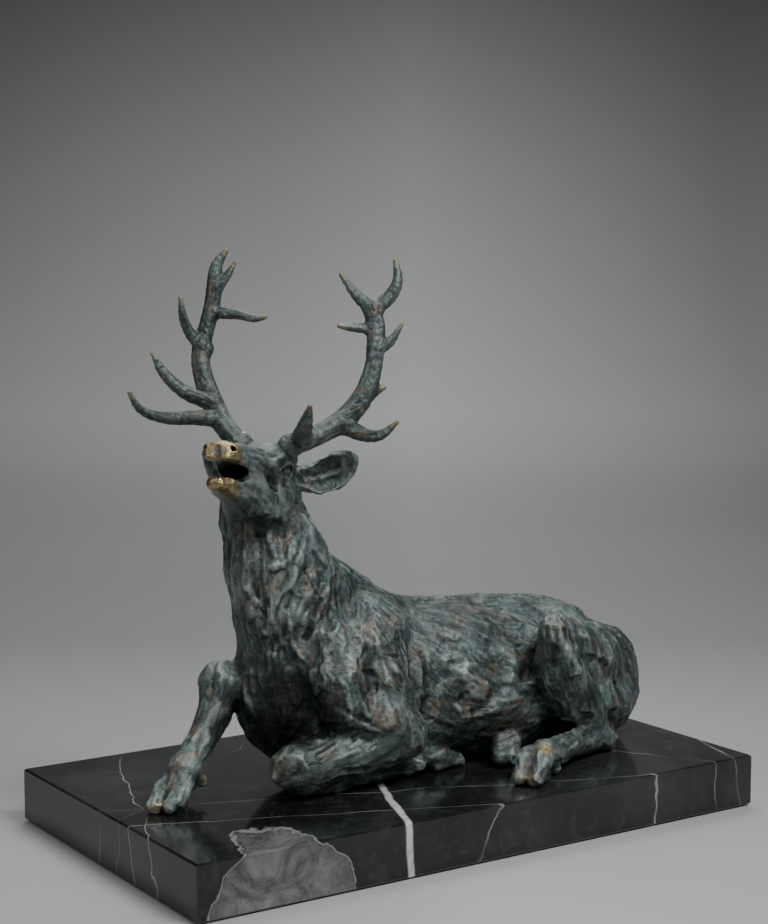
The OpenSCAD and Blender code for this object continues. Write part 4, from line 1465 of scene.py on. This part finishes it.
# %% Burr pearls
def pearl_tree():
    """A ring of balls: circle, instances with random sizes, realised and given a material."""
    tree = bpy.data.node_groups.new("burr_pearls", "GeometryNodeTree")
    sockets = {}
    for label, kind, value in (("Count", "NodeSocketInt", 17), ("Ring radius", "NodeSocketFloat", 0.0058),
                               ("Pearl radius", "NodeSocketFloat", 0.0009), ("Seed", "NodeSocketInt", 3)):
        socket = tree.interface.new_socket(label, in_out="INPUT", socket_type=kind)
        socket.default_value = value
        sockets[label] = socket.identifier
    finish_socket = tree.interface.new_socket("Material", in_out="INPUT", socket_type="NodeSocketMaterial")
    sockets["Material"] = finish_socket.identifier
    tree.interface.new_socket("Geometry", in_out="OUTPUT", socket_type="NodeSocketGeometry")
    given, _ = add(tree, "NodeGroupInput")
    circle = add(tree, "GeometryNodeMeshCircle", {"Vertices": (given, "Count"), "Radius": (given, "Ring radius")})
    ball = add(tree, "GeometryNodeMeshIcoSphere", {"Radius": (given, "Pearl radius"), "Subdivisions": 3})
    size = add(tree, "FunctionNodeRandomValue", {2: 0.65, 3: 1.25, "Seed": (given, "Seed")}, 1)
    spread = add(tree, "GeometryNodeInstanceOnPoints", {"Points": circle, "Instance": ball, "Scale": size})
    real = add(tree, "GeometryNodeRealizeInstances", {0: spread})
    smooth = add(tree, "GeometryNodeSetShadeSmooth", {0: real})
    finish = add(tree, "GeometryNodeSetMaterial", {0: smooth, "Material": (given, "Material")})
    add(tree, "NodeGroupOutput", {0: finish})
    return tree, sockets


def burr_pearls(name, place, beam, seed, mat):
    """The pearls of one antler as a plain mesh, set square to the first stretch of its beam."""
    tree, sockets = pearl_tree()
    holder = bpy.data.objects.new(name + "_tree", bpy.data.meshes.new(name + "_tree"))
    bpy.context.scene.collection.objects.link(holder)
    modifier = holder.modifiers.new("pearls", "NODES")
    modifier.node_group = tree
    modifier[sockets["Seed"]] = seed
    modifier[sockets["Material"]] = mat
    mesh = bpy.data.meshes.new_from_object(holder.evaluated_get(bpy.context.evaluated_depsgraph_get()))
    bpy.data.objects.remove(holder)
    out, back, up, _ = beam[1]
    along = Vector(place.axes @ np.array([-back, out * place.side, up])).normalized()
    turn = along.to_track_quat("Z", "Y").to_matrix().to_4x4()
    mesh.transform(Matrix.Translation(Vector(place.origin * MM) + along * 0.001) @ turn)
    mesh.name = name
    for key, value in (("grain", 0.55), ("streak", 0.5), ("raised", 0.5)):
        layer = mesh.attributes.new(key, "FLOAT", "POINT")
        layer.data.foreach_set("value", np.full(len(mesh.vertices), value, F32))
    obj = bpy.data.objects.new(name, mesh)
    bpy.context.scene.collection.objects.link(obj)
    return obj


# %% [markdown]
# ## Materials
# Each material is named for what the real piece is made of and how it was finished. It starts from an empty
# tree, and nodes are put in it by their short names.

# %% Empty material
def material(name):
    """A new material with an empty tree, and a way to put shader nodes in it."""
    mat = bpy.data.materials.new(name)
    mat.use_nodes = True
    mat.node_tree.nodes.clear()

    def put(kind, *inputs, **settings):
        return add(mat.node_tree, "ShaderNode" + kind, *inputs, **settings)

    return mat, put


print("materials so far", len(bpy.data.materials))

# %% [markdown]
# ### Patinated bronze
# The cast metal is brown; nitrate and chloride laid on with a brush over a flame turn it grey-green, the hollows
# stay black, and wax seals it. The patina is a mineral skin, so it is only partly metallic and fairly rough. Where
# hands and cloths rub, on the nose, lips and hooves, the bare bronze shines through. The tints are laid on one
# after the other, each through its own mask; pale spots of painted light are among them, and the black of the
# hollows, which also carries the painted shade, and the rubbed metal come last.

# %% Patinated bronze
def patinated_bronze():
    """Cold grey-green patina over brown bronze, dark in the hollows, pale on the ridges, waxed; painted light and
    shade in spots.
    """
    mat, put = material("waxed_patinated_bronze")
    where = put("TexCoord", out="Object")
    raised, recess, rub, warm, pale, grain, streak = (
        put("Attribute", out="Fac", attribute_name=name)
        for name in ("raised", "recess", "rub", "warm", "pale", "grain", "streak"))
    # size of the features in millimetres, detail, roughness, distortion
    cloud, blotch, speck, grit, stain, pit = (
        put("TexNoise", {"Vector": where, "Scale": 1 / (size * MM), "Detail": detail, "Roughness": rough,
                         "Distortion": bend})
        for size, detail, rough, bend in ((30, 5, 0.6, 0), (9, 6, 0.7, 0.8), (3, 5, 0.7, 0), (1.1, 3, 0.6, 0),
                                          (17, 5, 0.7, 1.2), (2, 4, 0.75, 0)))
    colour = put("ValToRGB", {"Fac": cloud}, stops=((0.34, "#222a2a"), (0.5, "#374443"), (0.66, "#52605e")))
    furrows = put("ValToRGB", {"Fac": streak}, stops=((0.3, 0.48), (0.5, 0)))
    ridges = put("Math", {0: put("ValToRGB", {"Fac": streak}, stops=((0.58, 0), (0.9, 0.35))),
                          1: put("ValToRGB", {"Fac": blotch}, stops=((0.4, 0.3), (0.6, 1)))}, operation="MULTIPLY")
    proud = put("Math", {0: raised, 1: 0.75}, operation="MULTIPLY")
    salts = put("ValToRGB", {"Fac": speck}, stops=((0.52, 0), (0.7, 0.4)))
    ragged = put("Math", {0: put("ValToRGB", {"Fac": blotch}, stops=((0.35, 0.4), (0.6, 0.9))),
                          1: put("ValToRGB", {"Fac": streak}, stops=((0.3, 0.35), (0.6, 1)))}, operation="MULTIPLY")
    # painted light: the pale spots, made ragged, stand in for light falling there
    wear_and_painted_light = put("Math", {0: pale, 1: ragged}, operation="MULTIPLY")
    patches = put("Math", {0: put("ValToRGB", {"Fac": stain}, stops=((0.54, 0), (0.66, 0.8))), 1: 0.8},
                  operation="MULTIPLY")
    brown = put("Math", {0: patches, 1: warm}, operation="MAXIMUM")
    pitted = put("ValToRGB", {"Fac": pit}, stops=((0.3, 0.9), (0.41, 0)))
    combing = put("ValToRGB", {"Fac": grain}, stops=((0.22, 0.65), (0.45, 0)))
    scored = put("ValToRGB", {"Fac": grain}, stops=((0.6, 0), (0.9, 0.22)))
    worn = put("Math", {0: rub, 1: put("ValToRGB", {"Fac": grit}, stops=((0.3, 0.35), (0.5, 1)))},
               operation="MULTIPLY")
    # the pale spots are painted light, and the black of the hollows also carries the painted shade
    for mask, tint in ((furrows, "#1f2524"), (ridges, "#707f7b"), (proud, "#8a9894"), (salts, "#86a09b"),
                       (wear_and_painted_light, "#9faaa6"), (brown, "#74604c"), (pitted, "#15191a"), (combing, "#11191a"),
                       (scored, "#97a5a1"), (recess, "#0a0c0d"), (worn, "#ab9468")):
        colour = put("Mix", {"Factor": mask, 6: colour, 7: tint}, 2, data_type="RGBA")
    # rubbed metal is smoother and fully metallic; the wax leaves the rest half dull
    rough = put("Math", {0: speck, 1: 0.3, 2: 0.3}, operation="MULTIPLY_ADD")
    rough = put("Math", {0: rub, 1: -0.24, 2: rough}, operation="MULTIPLY_ADD")
    metal = put("Math", {0: worn, 1: 0.65, 2: 0.3}, operation="MULTIPLY_ADD")
    height = put("Math", {0: grit, 1: 0.3}, operation="MULTIPLY")
    height = put("Math", {0: speck, 1: 0.7, 2: height}, operation="MULTIPLY_ADD")
    height = put("Math", {0: grain, 1: 0.6, 2: height}, operation="MULTIPLY_ADD")
    bump = put("Bump", {"Height": height, "Strength": 0.9, "Distance": 0.0009})
    put("OutputMaterial", {"Surface": put("BsdfPrincipled", {
        "Base Color": colour, "Metallic": metal, "Roughness": rough, "Normal": bump})})
    return mat


bronze = patinated_bronze()
for obj in node_pieces.values():
    obj.data.materials.append(bronze)
pearls = {}
for seed, (name, beam) in enumerate((("left_antler", LEFT_BEAM), ("right_antler", RIGHT_BEAM))):
    pearls[name] = burr_pearls(name + "_pearls", antlers[name][1], beam, 3 + seed, bronze)
    print(name, "pearls", len(pearls[name].data.polygons), "faces")

# %% [markdown]
# ### Black marble
# The base is a sawn block of black limestone marble, polished on every face and veined with white calcite.
# A vein is a crack that was filled, so it is a thin wavering sheet through the whole stone, and the same
# sheet shows on the top and runs on down the side. Cutting each vein from a plane in the block gives that.

# %% Marble
VEINS = [
    # normal of the plane, its offset, how far it wavers, over what length, half its thickness, in millimetres
    ((0.93, -0.28, 0.22), 189.6, 3, 30, 0.9), ((0.362, 0.905, -0.223), -97.8, 4, 30, 0.45),
    ((0.94, -0.34, 0.05), -148, 9, 40, 0.4), ((0.35, 0.94, 0.0), -58, 10, 60, 0.4),
    ((-0.6, 0.78, 0.1), 96, 12, 45, 0.35), ((0.83, 0.55, 0.0), 72, 12, 60, 0.4),
]
BROAD_VEIN = ((0.92, -0.393, 0.081), -12.4, 3, 40, 2.3)


def polished_marble():
    """Black limestone marble with drawn white calcite, cut and polished on every face."""
    mat, put = material("polished_black_marble")
    where = put("TexCoord", out="Object")

    def vein(normal, offset, sway, size, half):
        """How many half thicknesses each place lies from a wavering plane."""
        along = put("VectorMath", {0: where, 1: normal}, "Value", operation="DOT_PRODUCT")
        wave = put("TexNoise", {"Vector": where, "Scale": 1 / (size * MM), "Detail": 3, "Roughness": 0.55})
        wave = put("Math", {0: wave, 1: 0.5}, operation="SUBTRACT")
        gap = put("Math", {0: wave, 1: 2 * sway * MM, 2: along}, operation="MULTIPLY_ADD")
        gap = put("Math", {0: put("Math", {0: gap, 1: offset * MM}, operation="SUBTRACT")}, operation="ABSOLUTE")
        return put("Math", {0: gap, 1: half * MM}, operation="DIVIDE")

    # size of the features in millimetres, detail, roughness, distortion
    cloud, wisp, fray, mottle, dirt, gaps = (
        put("TexNoise", {"Vector": where, "Scale": 1 / (size * MM), "Detail": detail, "Roughness": rough,
                         "Distortion": bend})
        for size, detail, rough, bend in ((80, 8, 0.62, 0.5), (16, 6, 0.7, 1.5), (30, 4, 0.6, 0), (24, 7, 0.7, 1.8),
                                          (5, 5, 0.7, 0), (40, 4, 0.6, 0)))
    colour = put("ValToRGB", {"Fac": cloud}, stops=((0.34, "#0e0f10"), (0.5, "#191a1b"), (0.66, "#2a2b2c")))
    smoke = put("ValToRGB", {"Fac": wisp}, stops=((0.52, 0), (0.72, 0.5)))
    # a grey cloud of calcite at the near corner, with a pale rim
    away = put("VectorMath", {0: where, 1: (0.131, 0.102, -0.001)}, operation="ADD")
    away = put("VectorMath", {0: away, 1: (25.0, 14.0, 31.0)}, operation="MULTIPLY")
    away = put("VectorMath", {0: away}, "Value", operation="LENGTH")
    frayed = put("Math", {0: fray, 1: 0.5}, operation="SUBTRACT")
    away = put("Math", {0: frayed, 1: 0.5, 2: away}, operation="MULTIPLY_ADD")
    inside = put("ValToRGB", {"Fac": away}, stops=((0.55, 1), (1.0, 0.75), (1.04, 0)))
    grey = put("Mix", {"Factor": put("ValToRGB", {"Fac": mottle}, stops=((0.35, 0), (0.7, 1))),
                       6: "#393a3b", 7: "#7b7b79"}, 2, data_type="RGBA")
    edge = put("Math", {0: put("Math", {0: away, 1: 1.02}, operation="SUBTRACT")}, operation="ABSOLUTE")
    rim = put("ValToRGB", {"Fac": edge}, stops=((0.004, 0.7), (0.02, 0)))
    # the broad white vein, with dirty places along it, and the fine ones, which fade in and out
    broad = vein(*BROAD_VEIN)
    core = put("ValToRGB", {"Fac": broad}, stops=((0.5, 1), (1.0, 0)))
    soiled = put("Math", {0: put("ValToRGB", {"Fac": broad}, stops=((0.8, 1), (1.0, 0))),
                          1: put("ValToRGB", {"Fac": dirt}, stops=((0.45, 0), (0.65, 0.6)))}, operation="MULTIPLY")
    fine = vein(*VEINS[0])
    for other in VEINS[1:]:
        fine = put("Math", {0: fine, 1: vein(*other)}, operation="MINIMUM")
    threads = put("Math", {0: put("ValToRGB", {"Fac": fine}, stops=((0.3, 0.8), (1.0, 0))),
                           1: put("ValToRGB", {"Fac": gaps}, stops=((0.4, 0.15), (0.6, 1)))}, operation="MULTIPLY")
    for mask, tint in ((smoke, "#3b3c3d"), (inside, grey), (rim, "#8f8f8d"), (core, "#bdbdba"),
                       (soiled, "#6f706f"), (threads, "#9c9c9a")):
        colour = put("Mix", {"Factor": mask, 6: colour, 7: tint}, 2, data_type="RGBA")
    # the polish is almost a mirror, a little duller where the stone is paler
    polish = put("Math", {0: cloud, 1: 0.1, 2: 0.05}, operation="MULTIPLY_ADD")
    put("OutputMaterial", {"Surface": put("BsdfPrincipled", {"Base Color": colour, "Roughness": polish})})
    return mat


def dress(name, mat):
    """Give a node from the frame its finish."""
    for slot in nodes[name].material_slots:
        slot.material = mat


dress("marble_base", polished_marble())
print("veins in the marble", len(VEINS) + 1)

# %% [markdown]
# ### Felt
# A sheet of wool felt is glued under the stone so that it does not scratch a shelf. It is a thin flat solid,
# with a fibrous bump and a little sheen. A thick sheet would be modelled as padding, but this one is less than
# a millimetre thick, so a plain solid of its true size says all there is to say.

# %% Felt
def felt_sheet():
    """The sheet at the size of the frame's own, as a fine grid with thickness."""
    low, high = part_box("base_felt")
    length, width = high[0] - low[0], high[1] - low[1]
    mesh = bmesh.new()
    bmesh.ops.create_grid(mesh, x_segments=72, y_segments=40, size=0.5)
    for v in mesh.verts:
        v.co = Vector((v.co.x * length, v.co.y * width, high[2]))
    bmesh.ops.solidify(mesh, geom=mesh.faces[:], thickness=high[2] - low[2])
    bmesh.ops.recalc_face_normals(mesh, faces=mesh.faces)
    data = bpy.data.meshes.new("felt_sheet")
    mesh.to_mesh(data)
    mesh.free()
    obj = bpy.data.objects.new("felt_sheet", data)
    bpy.context.scene.collection.objects.link(obj)
    return obj, length, width


def wool_felt():
    """Pressed black wool: no gloss at all and a soft sheen.

    Wool fibres are a few hundredths of a millimetre thick. They are drawn a millimetre apart, so that they show.
    """
    mat, put = material("black_wool_felt")
    where = put("TexCoord", out="Object")
    fibres = put("TexNoise", {"Vector": where, "Scale": 1 / (1 * MM), "Detail": 4, "Distortion": 2})
    shade = put("ValToRGB", {"Fac": fibres}, stops=((0.35, "#0c0c0d"), (0.65, "#232425")))
    matting = put("Bump", {"Height": fibres, "Strength": 0.6, "Distance": 0.0003})
    put("OutputMaterial", {"Surface": put("BsdfPrincipled", {
        "Base Color": shade, "Roughness": 0.95, "Sheen Weight": 0.4, "Normal": matting})})
    return mat


felt, felt_length, felt_width = felt_sheet()
felt.data.materials.append(wool_felt())
print("felt", round(felt_length / MM), "x", round(felt_width / MM), "mm")

# %% [markdown]
# ### Fittings
# Two brass bridges take the studs that clamp the bronze to the stone, and dowels hold the antlers. The bronze
# here is a filled skin, so they show only where a casting is taken away. The two metals differ in tint and
# polish, and share a faint grain. It is drawn two millimetres long, coarser than the real one, so that it shows.

# %% Hidden fittings
def plain_metal(name, dark, light, polish):
    """A bare metal with a faint grain; polish is the roughness where the grain is smoothest."""
    mat, put = material(name)
    grain = put("TexNoise", {"Vector": put("TexCoord", out="Object"), "Scale": 1 / (2 * MM), "Detail": 3})
    put("OutputMaterial", {"Surface": put("BsdfPrincipled", {
        "Base Color": put("ValToRGB", {"Fac": grain}, stops=((0.3, dark), (0.7, light))), "Metallic": 1.0,
        "Roughness": put("Math", {0: grain, 1: 0.3, 2: polish}, operation="MULTIPLY_ADD")})})
    return mat


# zinc plate is cold grey with a soft shine; drawn brass is yellow and a little duller
zinc = plain_metal("zinc_plated_steel", "#8f949b", "#b9bec4", 0.2)
brass = plain_metal("drawn_brass_bar", "#a5854a", "#c3a463", 0.25)
BRASS_NODES = ("front_bridge", "rear_bridge")
ZINC_NODES = ("antler_dowels", "front_stud", "rear_stud", "hoof_pin", "stud_washers", "stud_nuts", "hoof_washer",
              "hoof_nut")
for name in BRASS_NODES:
    dress(name, brass)
for name in ZINC_NODES:
    dress(name, zinc)
print("fittings", len(BRASS_NODES) + len(ZINC_NODES))

# %% [markdown]
# ## Floor and backdrop
# A sheet of pale paper curves up behind the statuette, so that there is no horizon line. It could be lit to
# fade evenly, but painting the fade of light and shade on to the paper leaves the lights free to model the bronze.

# %% Floor and backdrop
SWEEP_START, SWEEP_BEND, SWEEP_RADIUS, SWEEP_TOP, SWEEP_HALF_WIDTH = -9.0, 1.2, 0.8, 3.5, 6
DEPTHWISE, SIDEWAYS = (0.555, 0.832, 0), (0.832, -0.555, 0)


def sweep():
    """A pale floor that curves up into a backdrop, square to the view."""
    mesh = bmesh.new()
    angles = [math.pi / 2 * k / 16 for k in range(1, 17)]
    profile = [(SWEEP_START, 0), (SWEEP_BEND, 0)]
    profile += [(SWEEP_BEND + SWEEP_RADIUS * math.sin(a), SWEEP_RADIUS - SWEEP_RADIUS * math.cos(a)) for a in angles]
    profile += [(SWEEP_BEND + SWEEP_RADIUS, SWEEP_TOP)]
    turn = math.radians(VIEW_AZIMUTH)
    along = Vector((math.sin(turn), math.cos(turn), 0))
    across = Vector((math.cos(turn), -math.sin(turn), 0))
    rows = [[mesh.verts.new(along * d + across * s * SWEEP_HALF_WIDTH + Vector((0, 0, z))) for s in (-1, 1)]
            for d, z in profile]
    for a, b in zip(rows, rows[1:]):
        mesh.faces.new((a[0], a[1], b[1], b[0]))
    bmesh.ops.recalc_face_normals(mesh, faces=mesh.faces)
    data = bpy.data.meshes.new("sweep")
    mesh.to_mesh(data)
    mesh.free()
    for face in data.polygons:
        face.use_smooth = True
    obj = bpy.data.objects.new("sweep", data)
    bpy.context.scene.collection.objects.link(obj)
    return obj


def paper_with_painted_light():
    """Matt paper with painted light: lightest low on the wall behind the statuette, darker to the edges and top."""
    mat, put = material("paper_with_painted_light")
    where = put("TexCoord", out="Object")
    height = put("SeparateXYZ", {0: where}, 2)
    deep = put("VectorMath", {0: where, 1: DEPTHWISE}, "Value", operation="DOT_PRODUCT")
    deep = put("Math", {0: deep, 1: 0.33, 2: 0.5}, operation="MULTIPLY_ADD", use_clamp=True)
    wide = put("VectorMath", {0: where, 1: SIDEWAYS}, "Value", operation="DOT_PRODUCT")
    wide = put("Math", {0: wide, 1: 0.5, 2: 0.5}, operation="MULTIPLY_ADD", use_clamp=True)
    # painted light on the floor: lighter in front, darkest half a metre behind the statuette, lighter towards the
    # bend
    floor_painted_light = put("ValToRGB", {"Fac": deep}, stops=(
        (0.3, "#a8a9aa"), (0.5, "#9c9d9e"), (0.665, "#7c7d7e"), (0.76, "#7e7f80"), (0.92, "#8c8d8e")))
    # painted light on the wall: brightest a tenth of a metre up, darker towards the top
    wall = put("ValToRGB", {"Fac": height}, stops=(
        (0.0, "#929393"), (0.1, "#a1a2a2"), (0.45, "#898989"), (0.72, "#696969")))
    rise = put("ValToRGB", {"Fac": height}, stops=((0.001, 0), (0.05, 1)))
    tone = put("Mix", {"Factor": rise, 6: floor_painted_light, 7: wall}, 2, data_type="RGBA")
    # painted shade: darker towards both sides
    edge = put("ValToRGB", {"Fac": wide}, stops=(
        (0.2, "#cfcfcf"), (0.42, "#ececec"), (0.52, "#ffffff"), (0.76, "#c2c2c2")))
    tone = put("Mix", {"Factor": 1.0, 6: tone, 7: edge}, 2, data_type="RGBA", blend_type="MULTIPLY")
    put("OutputMaterial", {"Surface": put("BsdfPrincipled", {"Base Color": tone, "Roughness": 0.9})})
    return mat


floor = sweep()
floor.data.materials.append(paper_with_painted_light())
print("sweep", len(floor.data.polygons), "faces")

# %% [markdown]
# ## Light
# The main soft box hangs high on the right of the camera and models the forms. Weak ones from the left, the
# front, above and behind keep the far sides from going black, because the statuette is seen from all round.

# %% Light
def soft_box(name, place, aim, size, power):
    """A rectangular light at place that faces aim."""
    light = bpy.data.objects.new(name, bpy.data.lights.new(name, "AREA"))
    light.data.shape = "RECTANGLE"
    light.data.size, light.data.size_y = size
    light.data.energy = power
    light.location = place
    light.rotation_euler = (Vector(place) - Vector(aim)).to_track_quat("Z", "Y").to_euler()
    bpy.context.scene.collection.objects.link(light)


BOXES = [
    # name, place, aim, size in metres, watts
    ("key", (0.3, -1.2, 1.7), (0, 0, 0.1), (0.8, 0.6), 44), ("side", (-1.5, 0.3, 1.1), (0, 0, 0.15), (0.4, 1.0), 6),
    ("front", (-0.9, -1.3, 1.5), (0, 0, 0.15), (0.7, 0.7), 9), ("back", (0.9, 1.6, 1.3), (0, 0, 0.12), (0.9, 0.9), 9),
    ("top", (0.3, 0.7, 1.7), (0, 0, 0.1), (1.4, 0.8), 14),
]
for box in BOXES:
    soft_box(*box)
world = bpy.data.worlds.new("studio")
world.use_nodes = True
sky = world.node_tree.nodes["Background"].inputs
sky["Color"].default_value = hexed("#8c8f92")
sky["Strength"].default_value = 0.15
bpy.context.scene.world = world
print("lights", len(BOXES), "of", sum(box[-1] for box in BOXES), "W")

# %% [markdown]
# ## Putting the pieces in place
# Each piece is hung from the root of the frame, and the node of the frame that it stands for is hidden.

# %% Putting the pieces in place
for name, obj in (*node_pieces.items(), *pearls.items()):
    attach(obj, "root")
    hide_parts(name)
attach(felt, "root")
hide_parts("base_felt")
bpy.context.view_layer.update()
print("built in", round(time.time() - started, 1), "s")
